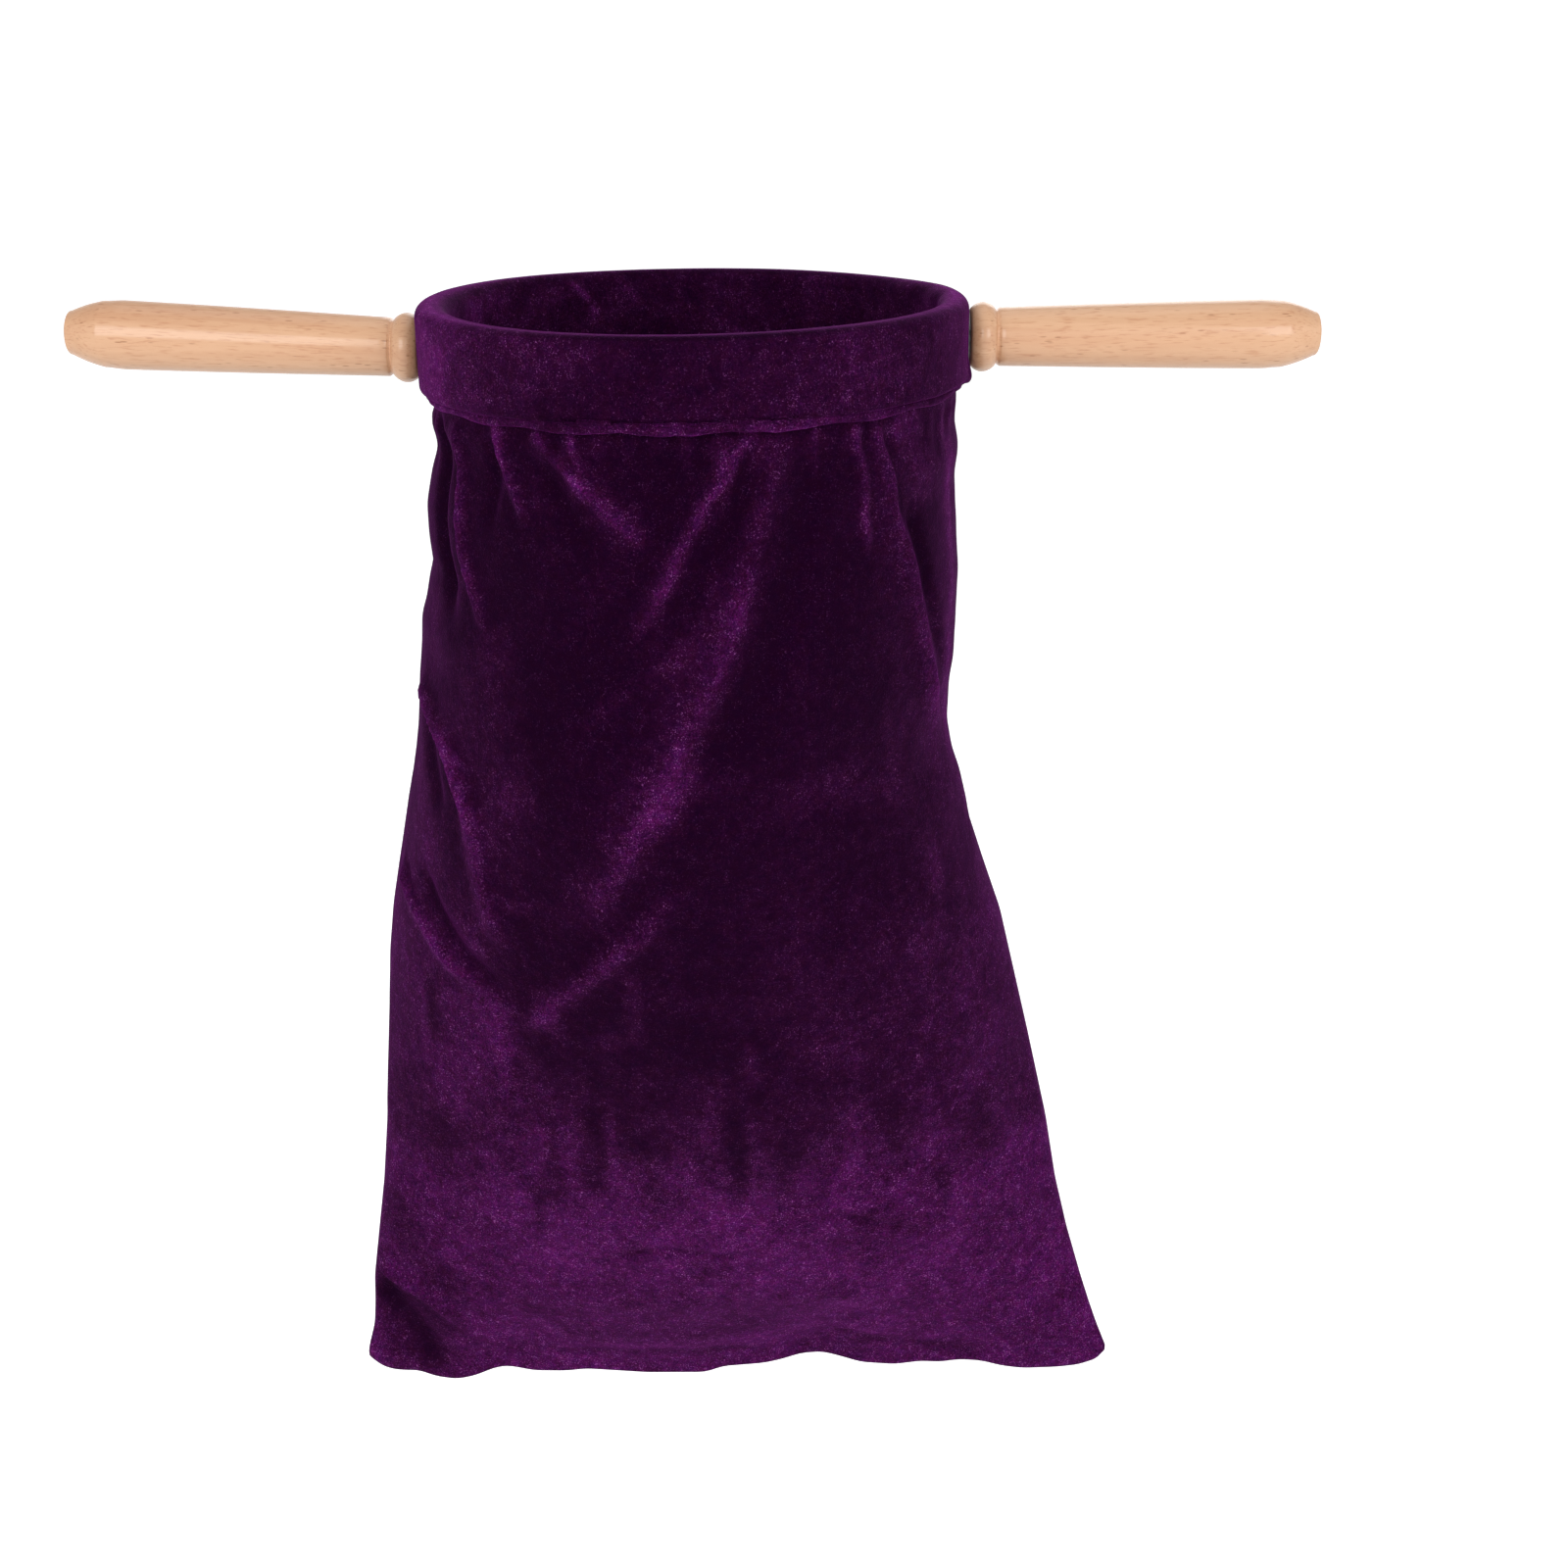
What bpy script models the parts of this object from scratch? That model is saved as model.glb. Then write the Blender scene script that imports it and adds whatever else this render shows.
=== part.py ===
"""Offertory bag: a velvet bag gathered onto a round wooden hoop, carried by two turned handles.

Metres, +Z up. The origin is the hoop's centre, level with the line from hand to hand.
+X points at the right-hand handle and -Y at the front of the bag.
"""
import math

import bmesh
import bpy
from mathutils import Matrix, Vector

# Overall sizes
HANDLE_SPAN = 0.350
BAG_DROP = 0.345
BAG_FLAT_WIDTH = 0.247

# The bent hoop
HOOP_DIAMETER = 0.150
HOOP_WALL = 0.005
HOOP_HEIGHT = 0.019
HOOP_EDGE_ROUND = 0.0015

# Cloth and thread
VELVET = 0.0012
THREAD = 0.0006
EASE = 0.0003

# The sleeve that wraps the hoop, and the seam lips under it
LIP_BOTTOM = 0.0130
LIP_TURN = math.radians(60)
LIP_BEND = 0.0010
BAG_TOP = 0.0101
SLEEVE_END_ANGLE = math.radians(-9)
SLEEVE_END_STITCHING = 0.016

# The turned handles
HANDLE_RISE = {"left": math.radians(3.7), "right": 0.0}
BEAD_LENGTH = 0.0067
BEAD_RADIUS = 0.0096
BEAD_FULLNESS = 0.6
GROOVE_RADIUS = 0.0076
GROOVE_WIDTH = 0.0009
NECK_RADIUS = 0.0082
BELLY_RADIUS = 0.0095
SHOULDER_LENGTH = 0.0100
SHOULDER_ROUND = 0.0060
END_RADIUS = 0.0061
END_ROUND = 0.0009

# The wood screws that hold the handles
SCREW_LENGTH = 0.030
SCREW_RADIUS = 0.0020
SCREW_POINT = 0.0040
HEAD_RADIUS = 0.0038
HEAD_RIM = 0.0004
HEAD_SUNK = 0.0002
SLOT_WIDTH = 0.0010
SLOT_DEPTH = 0.0008
PILOT_SPARE = 0.0020

# The bag's hang, from the neck to the bottom seam
SHOULDER_DROP = 0.008
BOTTOM_SEAM_FLAT = 0.008
HEM_SHIFT = 0.0040
SECTION_SHARPNESS = 0.45
THREAD_ABOVE_SEAM = 0.0045
SIDE_THREAD_START = 0.0190
SIDE_THREAD_LIFT = 0.020
BOTTOM_THREAD_MARGIN = 0.016

# The cloth's main folds
FOLD_HEIGHT = 0.0036
FOLD_HALF_WIDTH = 0.0060
FOLD_FADE_SHARE = 0.20
FOLD_SEAM_CLEAR = 0.0120

# Facets
RING_FACETS = 60
TURNED_FACETS = 28
SCREW_FACETS = 16
THREAD_FACETS = 6
PANEL_COLUMNS = 36
PANEL_LEVELS = 30
ARC_STEPS = 2
BEAD_STEPS = 10

# Places that follow from the sizes
HOOP_OUTER = HOOP_DIAMETER / 2
HOOP_INNER = HOOP_OUTER - HOOP_WALL
HOOP_MIDDLE = (HOOP_OUTER + HOOP_INNER) / 2
WRAP = EASE + VELVET / 2
SLEEVE_OUTER = HOOP_OUTER + EASE + VELVET
SLEEVE_INNER = HOOP_INNER - EASE - VELVET
LIP_OFFSET = VELVET + EASE
LIP_KNEE = HOOP_HEIGHT / 2 + LIP_BEND
NECK_RADIUS_INSIDE = HOOP_MIDDLE - VELVET / 2
SIDES = {"left": -1, "right": 1}
HANDLE_SEAT = {side: SLEEVE_OUTER + EASE + GROOVE_RADIUS * math.sin(HANDLE_RISE[side]) for side in SIDES}
HANDLE_REACH = sum(math.cos(rise) for rise in HANDLE_RISE.values())
HANDLE_LENGTH = (HANDLE_SPAN - sum(HANDLE_SEAT.values())) / HANDLE_REACH
NECK_DEPTH = LIP_BOTTOM + EASE
SHOULDER_DEPTH = NECK_DEPTH + SHOULDER_DROP
SEAM_DEPTH = BAG_DROP - BOTTOM_SEAM_FLAT

# The bag's shape at stations down the drop: the share of the drop below the neck, the share
# of the width it gains on its way from the round neck to the flat seam, its half depth as a
# share of the neck's radius, and how far it leans to the right as a share of the hem's shift.
# Full width and no depth come at the seam.
HANG = (
    (0.00, 0.00, 1.00, 0.0),
    (0.10, 0.03, 1.02, -0.3),
    (0.26, 0.09, 1.03, -1.7),
    (0.34, 0.16, 1.00, -1.8),
    (0.44, 0.31, 0.90, -1.5),
    (0.54, 0.45, 0.78, -1.0),
    (0.66, 0.58, 0.65, -0.4),
    (0.78, 0.70, 0.50, 0.0),
    (0.89, 0.83, 0.31, 0.4),
    (1.00, 1.00, 0.00, 1.0),
)

# The ridges of the main folds: how high and how wide each one is, as shares of the fold's height
# and half width, and its line, as shares of the flat width across from the panel's middle and of
# the drop. The front's are the photograph's. The back isn't shown, and has folds like them.
RIDGES = {
    "front_panel": (
        (0.8, 0.8, ((-0.285, 0.045), (-0.285, 0.17), (-0.23, 0.21), (-0.19, 0.255))),
        (0.9, 0.9, ((-0.165, 0.045), (-0.12, 0.08), (-0.075, 0.105), (-0.025, 0.135))),
        (0.8, 0.8, ((0.055, 0.045), (0.025, 0.095), (-0.005, 0.14), (-0.055, 0.195))),
        (1.0, 1.0, ((0.10, 0.045), (0.09, 0.085), (0.07, 0.145), (0.035, 0.18), (0.01, 0.27),
                    (-0.025, 0.345), (-0.075, 0.40), (-0.12, 0.46))),
        (0.7, 0.9, ((-0.39, 0.265), (-0.34, 0.30), (-0.30, 0.33), (-0.265, 0.36), (-0.245, 0.405))),
        (0.9, 1.2, ((-0.46, 0.445), (-0.42, 0.48), (-0.365, 0.505), (-0.295, 0.54), (-0.235, 0.555),
                    (-0.16, 0.555), (-0.115, 0.53), (-0.05, 0.495), (0.01, 0.46), (0.07, 0.41))),
        (0.8, 0.8, ((0.21, 0.045), (0.23, 0.085), (0.275, 0.145), (0.325, 0.215), (0.375, 0.27),
                    (0.445, 0.315))),
        (0.9, 0.8, ((-0.485, 0.865), (-0.435, 0.88), (-0.395, 0.895), (-0.365, 0.925))),
    ),
    "back_panel": (
        (0.8, 0.9, ((-0.30, 0.045), (-0.27, 0.115), (-0.24, 0.20), (-0.18, 0.30))),
        (0.8, 0.9, ((-0.20, 0.045), (-0.16, 0.10), (-0.105, 0.17), (-0.015, 0.245))),
        (1.0, 1.0, ((0.115, 0.045), (0.08, 0.115), (0.04, 0.22), (-0.01, 0.325), (-0.09, 0.435))),
        (0.7, 0.9, ((0.30, 0.045), (0.315, 0.13), (0.355, 0.245), (0.42, 0.325))),
        (0.8, 1.3, ((0.435, 0.435), (0.365, 0.50), (0.265, 0.54), (0.145, 0.55), (0.04, 0.52),
                    (-0.065, 0.465))),
        (0.6, 1.3, ((-0.435, 0.55), (-0.325, 0.625), (-0.185, 0.655))),
    ),
}


def clear_scene():
    """Remove whatever objects the file opens with."""
    for old in list(bpy.data.objects):
        bpy.data.objects.remove(old, do_unlink=True)


def new_collection(name):
    made = bpy.data.collections.new(name)
    bpy.context.scene.collection.children.link(made)
    return made


def finish(name, colour, roughness, metallic=0.0):
    """A plain Principled material for one piece."""
    material = bpy.data.materials.new(name)
    material.use_nodes = True
    shader = material.node_tree.nodes["Principled BSDF"]
    shader.inputs["Base Color"].default_value = (*colour, 1.0)
    shader.inputs["Roughness"].default_value = roughness
    shader.inputs["Metallic"].default_value = metallic
    return material


def velvet(name):
    return finish(name, (0.031, 0.003, 0.040), 0.9)


def beech(name):
    return finish(name, (0.72, 0.47, 0.27), 0.38)


def sewing_thread(name):
    return finish(name, (0.022, 0.003, 0.030), 0.7)


def zinc(name):
    return finish(name, (0.62, 0.62, 0.60), 0.35, 1.0)


def add_object(name, data, material, collection):
    made = bpy.data.objects.new(name, data)
    made.data.materials.append(material)
    collection.objects.link(made)
    return made


def shade_round(mesh, angle=math.radians(35)):
    mesh.shade_smooth()
    mesh.set_sharp_from_angle(angle=angle)


def filleted(corners, rounds, steps=ARC_STEPS):
    """A polyline of 2D corners with each inner corner replaced by an arc of its own radius."""
    points = [Vector(corners[0])]
    for before, corner, after, radius in zip(corners, corners[1:], corners[2:], rounds):
        corner = Vector(corner)
        towards_before = (Vector(before) - corner).normalized()
        towards_after = (Vector(after) - corner).normalized()
        half = towards_before.angle(towards_after) / 2
        centre = corner + (towards_before + towards_after).normalized() * radius / math.sin(half)
        start = corner + towards_before * radius / math.tan(half) - centre
        end = corner + towards_after * radius / math.tan(half) - centre
        sweep = start.angle_signed(end)
        for step in range(steps + 1):
            turned = Matrix.Rotation(-sweep * step / steps, 2) @ start
            points.append(centre + turned)
    points.append(Vector(corners[-1]))
    return points


def thickened(path, thickness):
    """The closed outline of a strip that follows an open 2D path."""
    left, right = [], []
    for index, point in enumerate(path):
        before = path[max(index - 1, 0)]
        after = path[min(index + 1, len(path) - 1)]
        along = (after - before).normalized()
        across = Vector((-along.y, along.x)) * thickness / 2
        left.append(point + across)
        right.append(point - across)
    return left + right[::-1]


def turned(name, profile, facets, material, collection, closed=False):
    """Revolve a profile of (radius, height) points about the local Z axis."""
    mesh = bpy.data.meshes.new(name)
    vertices = [(radius, 0, height) for radius, height in profile]
    edges = [(i, i + 1) for i in range(len(vertices) - 1)]
    if closed:
        edges.append((len(vertices) - 1, 0))
    mesh.from_pydata(vertices, edges, [])
    made = add_object(name, mesh, material, collection)
    screw = made.modifiers.new("turn", "SCREW")
    screw.axis = "Z"
    screw.steps = facets
    screw.render_steps = facets
    screw.use_merge_vertices = True
    screw.merge_threshold = 0.00001
    screw.use_smooth_shade = True
    return made


def baked(source, collection):
    """Replace an object by one whose mesh is its evaluated shape."""
    graph = bpy.context.evaluated_depsgraph_get()
    mesh = bpy.data.meshes.new_from_object(source.evaluated_get(graph))
    name = source.name
    matrix = source.matrix_world.copy()
    bpy.data.objects.remove(source)
    mesh.name = name
    made = bpy.data.objects.new(name, mesh)
    made.matrix_world = matrix
    collection.objects.link(made)
    return made


def box(name, size, collection):
    """A box of the given sides about its own centre."""
    mesh = bpy.data.meshes.new(name)
    shape = bmesh.new()
    bmesh.ops.create_cube(shape, size=1, matrix=Matrix.Diagonal((*size, 1)))
    shape.to_mesh(mesh)
    shape.free()
    made = bpy.data.objects.new(name, mesh)
    collection.objects.link(made)
    return made


def cut(body, cutter):
    boolean = body.modifiers.new("cut", "BOOLEAN")
    boolean.operation = "DIFFERENCE"
    boolean.solver = "EXACT"
    boolean.object = cutter


def as_cutter(made):
    made.hide_render = True
    made.display_type = "WIRE"
    return made


def handle_frame(side):
    """Local +Z runs out along a handle's axis, from the middle of its seat on the sleeve."""
    tilt = Matrix.Rotation(SIDES[side] * (math.pi / 2 - HANDLE_RISE[side]), 4, "Y")
    return Matrix.Translation((SIDES[side] * HANDLE_SEAT[side], 0, 0)) @ tilt


def handle_profile(side):
    """From the middle of the far end down the outside, and up the pilot hole for the screw."""
    shoulder = HANDLE_LENGTH - SHOULDER_LENGTH
    groove_end = BEAD_LENGTH + GROOVE_WIDTH
    corners = (
        (0, HANDLE_LENGTH),
        (END_RADIUS, HANDLE_LENGTH),
        (BELLY_RADIUS, shoulder),
        (NECK_RADIUS, groove_end),
    )
    points = filleted(corners, (END_ROUND, SHOULDER_ROUND))
    for step in range(BEAD_STEPS + 1):
        along = 1 - step / BEAD_STEPS
        swell = math.sin(math.pi * along) ** BEAD_FULLNESS if 0 < along < 1 else 0
        radius = GROOVE_RADIUS + (BEAD_RADIUS - GROOVE_RADIUS) * swell
        points.append(Vector((radius, along * BEAD_LENGTH)))
    pilot = screw_reach(side) + PILOT_SPARE
    points.append(Vector((SCREW_RADIUS + EASE, 0)))
    points.append(Vector((SCREW_RADIUS + EASE, pilot)))
    points.append(Vector((0, pilot + SCREW_RADIUS)))
    return points


def head_plane(side):
    """Where a screw's head lies along the handle's axis, just under the hoop's inner face."""
    lean = HEAD_RADIUS * math.sin(HANDLE_RISE[side])
    return HOOP_INNER + HEAD_SUNK + lean - HANDLE_SEAT[side]


def screw_reach(side):
    return head_plane(side) + SCREW_LENGTH


def screw_profile(side, clearance=0.0, past_head=0.0):
    """A countersunk screw from its point down to its head, grown by a clearance for its hole."""
    head = head_plane(side)
    point = screw_reach(side)
    shank = SCREW_RADIUS + clearance
    rim = HEAD_RADIUS + clearance
    neck = head + HEAD_RIM + HEAD_RADIUS - SCREW_RADIUS
    shaft = [(0, point), (shank, point - SCREW_POINT), (shank, neck)]
    return shaft + [(rim, head + HEAD_RIM), (rim, head - past_head), (0, head - past_head)]


def screw_cutter(name, side, cutters):
    """The hole with its countersink that a screw needs in the hoop."""
    hole = turned(name, screw_profile(side, EASE, HOOP_WALL), SCREW_FACETS, zinc(name), cutters)
    hole.matrix_world = handle_frame(side)
    return as_cutter(hole)


def make_hoop(parts, cutters):
    """A bent band of beech with rounded edges and a countersunk hole at each handle."""
    half = HOOP_HEIGHT / 2
    middle_top = (HOOP_MIDDLE, half)
    corners = (
        middle_top,
        (HOOP_OUTER, half),
        (HOOP_OUTER, -half),
        (HOOP_INNER, -half),
        (HOOP_INNER, half),
        middle_top,
    )
    outline = filleted(corners, [HOOP_EDGE_ROUND] * 4)[:-1]
    band = turned("hoop", outline, RING_FACETS, beech("hoop_beech"), parts, closed=True)
    hoop = baked(band, parts)
    for side in SIDES:
        cut(hoop, screw_cutter(side + "_hoop_hole", side, cutters))
    return hoop


def sleeve_path():
    """The middle line of the velvet strip, from its outer seam lip over the hoop to its inner one."""
    top = HOOP_HEIGHT / 2 + WRAP
    corner_round = HOOP_EDGE_ROUND + WRAP
    leg = HOOP_WALL / 2 + WRAP
    elbow = LIP_KNEE - (leg - LIP_OFFSET) / math.tan(LIP_TURN)
    half = ((LIP_OFFSET, -LIP_BOTTOM), (LIP_OFFSET, -LIP_KNEE), (leg, -elbow), (leg, top))
    corners = [(HOOP_MIDDLE + across, up) for across, up in half]
    corners += [(HOOP_MIDDLE - across, up) for across, up in reversed(half)]
    rounds = (LIP_BEND, corner_round, corner_round, corner_round, corner_round, LIP_BEND)
    return filleted(corners, rounds)


def make_rim_sleeve(parts, cutters):
    """Velvet folded round the hoop, open below, where its two lips take the bag's top edge."""
    outline = thickened(sleeve_path(), VELVET)[::-1]
    strip = turned("rim_sleeve", outline, RING_FACETS, velvet("rim_velvet"), parts, closed=True)
    sleeve = baked(strip, parts)
    radius = SCREW_RADIUS + EASE
    end = radius / 2
    for side in SIDES:
        name = side + "_sleeve_hole"
        start = HOOP_OUTER - HANDLE_SEAT[side]
        profile = [(0, end), (radius, end), (radius, start), (0, start)]
        hole = turned(name, profile, SCREW_FACETS, velvet(name), cutters)
        hole.matrix_world = handle_frame(side)
        cut(sleeve, as_cutter(hole))
    return sleeve


def make_handle(side, parts):
    name = side + "_handle"
    handle = turned(name, handle_profile(side), TURNED_FACETS, beech(name + "_beech"), parts)
    handle.matrix_world = handle_frame(side)
    return handle


def make_handle_screw(side, parts, cutters):
    """A slotted wood screw, driven from inside the hoop into the handle."""
    name = side + "_handle_screw"
    frame = handle_frame(side)
    blank = turned(name, screw_profile(side), SCREW_FACETS, zinc(name + "_zinc"), parts)
    blank.matrix_world = frame
    bpy.context.view_layer.update()
    screw = baked(blank, parts)
    slot = box(side + "_screw_slot", (HEAD_RADIUS * 3, SLOT_WIDTH, SLOT_DEPTH * 2), cutters)
    slot.matrix_world = frame @ Matrix.Translation((0, 0, head_plane(side)))
    cut(screw, as_cutter(slot))
    return screw


def on_curve(column, share):
    """A smooth value through one column of the hang's stations, at a share of the drop."""
    shares = [station[0] for station in HANG]
    values = [station[column] for station in HANG]
    last = len(HANG) - 1

    def slope(index):
        low, high = max(index - 1, 0), min(index + 1, last)
        return (values[high] - values[low]) / (shares[high] - shares[low])

    index = max(i for i in range(last) if shares[i] <= share or i == 0)
    width = shares[index + 1] - shares[index]
    rise = values[index + 1] - values[index]
    t = (share - shares[index]) / width
    leave, arrive = slope(index) * width, slope(index + 1) * width
    bend = 3 * rise - 2 * leave - arrive
    turn = leave + arrive - 2 * rise
    return values[index] + t * (leave + t * (bend + t * turn))


def section(depth):
    """The inside of the bag at a depth: half width, half depth, sharpness and lean."""
    if depth <= NECK_DEPTH:
        return NECK_RADIUS_INSIDE, NECK_RADIUS_INSIDE, 1.0, 0.0
    share = min((depth - NECK_DEPTH) / (SEAM_DEPTH - NECK_DEPTH), 1.0)
    swell = min((depth - NECK_DEPTH) / SHOULDER_DROP, 1.0)
    hung_radius = SLEEVE_OUTER - 2 * VELVET
    neck = NECK_RADIUS_INSIDE + (hung_radius - NECK_RADIUS_INSIDE) * math.sin(swell * math.pi / 2)
    half_width = neck + (BAG_FLAT_WIDTH / 2 - neck) * on_curve(1, share)
    half_depth = neck * on_curve(2, share)
    lean = HEM_SHIFT * on_curve(3, share)
    return half_width, half_depth, 1.0 + SECTION_SHARPNESS * share, lean


def inside_point(depth, angle):
    """A point of the front panel's inner face, with the angle run from side seam to side seam."""
    half_width, half_depth, sharpness, lean = section(depth)
    reach = max(math.cos(angle), 0) ** sharpness
    return Vector((lean + half_width * math.sin(angle), -(EASE / 2 + half_depth * reach), -depth))


def panel_depths():
    """Levels down the cloth: close together at the neck and at the seam, even between them."""
    run = SEAM_DEPTH - SHOULDER_DEPTH
    body = [SHOULDER_DEPTH + run * step / PANEL_LEVELS for step in range(PANEL_LEVELS)]
    above_seam = SEAM_DEPTH - run / PANEL_LEVELS / 3
    return [BAG_TOP, NECK_DEPTH, NECK_DEPTH + SHOULDER_DROP / 2] + body + [above_seam, SEAM_DEPTH, BAG_DROP]


def smooth(share):
    """A soft run from 0 to 1."""
    held = min(max(share, 0), 1)
    return held * held * (3 - 2 * held)


def ridge_at(place, line, half_width):
    """How much of a ridge is felt at a place on the cloth, as it fades to its sides and ends."""
    runs = [(after - before).length for before, after in zip(line, line[1:])]
    passed, nearest, along = 0, math.inf, 0
    for before, after, run in zip(line, line[1:], runs):
        direction = (after - before) / run
        step = min(max((place - before).dot(direction), 0), run)
        distance = (place - before - direction * step).length
        if distance < nearest:
            nearest, along = distance, (passed + step) / sum(runs)
        passed += run
    ends = smooth(along / FOLD_FADE_SHARE) * smooth((1 - along) / FOLD_FADE_SHARE)
    return ends * math.exp(-(nearest / half_width) ** 2)


def fold_height(name, across, depth):
    """How far the panel's folds stand out at a place across the cloth and down it."""
    height = 0
    for tallness, breadth, shares in RIDGES[name]:
        line = [Vector((side * BAG_FLAT_WIDTH, drop * BAG_DROP)) for side, drop in shares]
        height += tallness * ridge_at(Vector((across, depth)), line, breadth * FOLD_HALF_WIDTH)
    return height * FOLD_HEIGHT


def folded_row(name, depth, angles):
    """A row of the panel's inner face, moved out along its section wherever a fold stands."""
    row = [inside_point(depth, angle) for angle in angles]
    places = [0]
    for before, after in zip(row, row[1:]):
        places.append(places[-1] + (after - before).length)
    below_lips = smooth((depth - NECK_DEPTH) / SHOULDER_DROP) * smooth((SEAM_DEPTH - depth) / FOLD_SEAM_CLEAR)
    moved = [row[0]]
    for before, point, after, place in zip(row, row[1:], row[2:], places[1:]):
        outward = Vector((after.y - before.y, before.x - after.x, 0)).normalized()
        clear = smooth(min(place, places[-1] - place) / FOLD_SEAM_CLEAR) * below_lips
        moved.append(point + outward * clear * fold_height(name, place - places[-1] / 2, depth))
    return moved + [row[-1]]


def make_panel(name, facing, parts):
    """One face of the bag: its inner face as a grid, thickened outwards by the velvet."""
    angles = [math.pi * (column / PANEL_COLUMNS - 0.5) for column in range(PANEL_COLUMNS + 1)]
    mesh = bpy.data.meshes.new(name)
    grid = bmesh.new()
    rows = []
    for depth in panel_depths():
        row = folded_row(name, depth, angles)
        rows.append([grid.verts.new((p.x, p.y * facing, p.z)) for p in row])
    for upper, lower in zip(rows, rows[1:]):
        for a, b, c, d in zip(upper, upper[1:], lower[1:], lower):
            grid.faces.new((a, d, c, b) if facing > 0 else (a, b, c, d))
    grid.to_mesh(mesh)
    grid.free()
    shade_round(mesh)
    panel = add_object(name, mesh, velvet(name + "_velvet"), parts)
    solid = panel.modifiers.new("cloth", "SOLIDIFY")
    solid.thickness = VELVET
    solid.offset = 1.0
    solid.use_even_offset = True
    solid.use_rim = True
    return panel


def make_thread(name, points, parts):
    """A line of stitching, drawn as one thin thread."""
    curve = bpy.data.curves.new(name, "CURVE")
    curve.dimensions = "3D"
    curve.bevel_depth = THREAD / 2
    curve.bevel_resolution = 2
    curve.use_fill_caps = True
    line = curve.splines.new("POLY")
    line.points.add(len(points) - 1)
    for target, point in zip(line.points, points):
        target.co = (*point, 1.0)
    return add_object(name, curve, sewing_thread(name + "_polyester"), parts)


def make_side_thread(side, parts):
    """Down a side seam, in the angle between the two panels."""
    run = SEAM_DEPTH - SIDE_THREAD_LIFT - SIDE_THREAD_START
    points = []
    for step in range(PANEL_LEVELS + 1):
        depth = SIDE_THREAD_START + run * step / PANEL_LEVELS
        half_width, _, _, lean = section(depth)
        points.append((lean + SIDES[side] * (half_width - EASE - THREAD), 0, -depth))
    return make_thread(side + "_seam_thread", points, parts)


def make_bottom_thread(parts):
    """Across the bottom, just above the place where the panels lie flat together."""
    reach = BAG_FLAT_WIDTH / 2 - BOTTOM_THREAD_MARGIN
    depth = SEAM_DEPTH - THREAD_ABOVE_SEAM
    lean = section(depth)[3]
    points = [(lean + reach * place, 0, -depth) for place in (-1, -0.5, 0, 0.5, 1)]
    return make_thread("bottom_seam_thread", points, parts)


def make_rim_thread(parts):
    """Round the hoop, on the inner seam lip that it stitches to the bag and the outer lip."""
    lip_face = HOOP_MIDDLE - LIP_OFFSET - VELVET / 2
    radius = lip_face - EASE - THREAD / 2
    height = -(LIP_BOTTOM + LIP_KNEE) / 2
    outline = []
    for step in range(THREAD_FACETS):
        turn = -math.tau * step / THREAD_FACETS
        outline.append((radius + THREAD / 2 * math.cos(turn), height + THREAD / 2 * math.sin(turn)))
    polyester = sewing_thread("rim_polyester")
    return turned("rim_seam_thread", outline, RING_FACETS, polyester, parts, closed=True)


def make_sleeve_end_thread(parts):
    """Up the inside of the sleeve, where the two ends of its strip are sewn together."""
    radius = SLEEVE_INNER - EASE - THREAD / 2
    x = radius * math.cos(SLEEVE_END_ANGLE)
    y = radius * math.sin(SLEEVE_END_ANGLE)
    half = SLEEVE_END_STITCHING / 2
    points = [(x, y, half), (x, y, 0), (x, y, -half)]
    return make_thread("sleeve_end_thread", points, parts)


def add_pivot(name, children, collection):
    """An empty on the axis that its children turn about."""
    pivot = bpy.data.objects.new(name, None)
    pivot.empty_display_size = HOOP_OUTER
    collection.objects.link(pivot)
    bpy.context.view_layer.update()
    for child in children:
        child.parent = pivot
        child.matrix_parent_inverse = pivot.matrix_world.inverted()
    return pivot


def main():
    clear_scene()
    parts = new_collection("offertory_bag")
    cutters = new_collection("cutters")
    carried = [make_hoop(parts, cutters), make_rim_sleeve(parts, cutters)]
    for side in SIDES:
        carried.append(make_handle(side, parts))
        carried.append(make_handle_screw(side, parts, cutters))
    carried += [make_rim_thread(parts), make_sleeve_end_thread(parts)]
    hanging = [make_panel("front_panel", 1, parts), make_panel("back_panel", -1, parts)]
    for side in SIDES:
        hanging.append(make_side_thread(side, parts))
    hanging.append(make_bottom_thread(parts))
    add_pivot("hoop_frame", carried, parts)
    add_pivot("bag_swing", hanging, parts)


main()
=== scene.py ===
"""The looks of the offertory bag: crushed purple velvet hung from a velvet-covered beech hoop,
with turned and lacquered beech handles. Metres, +Z up, in the frame of the solids.
"""
import math

import bmesh
import bpy
import numpy as np
from mathutils import Matrix, Vector, noise


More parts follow.
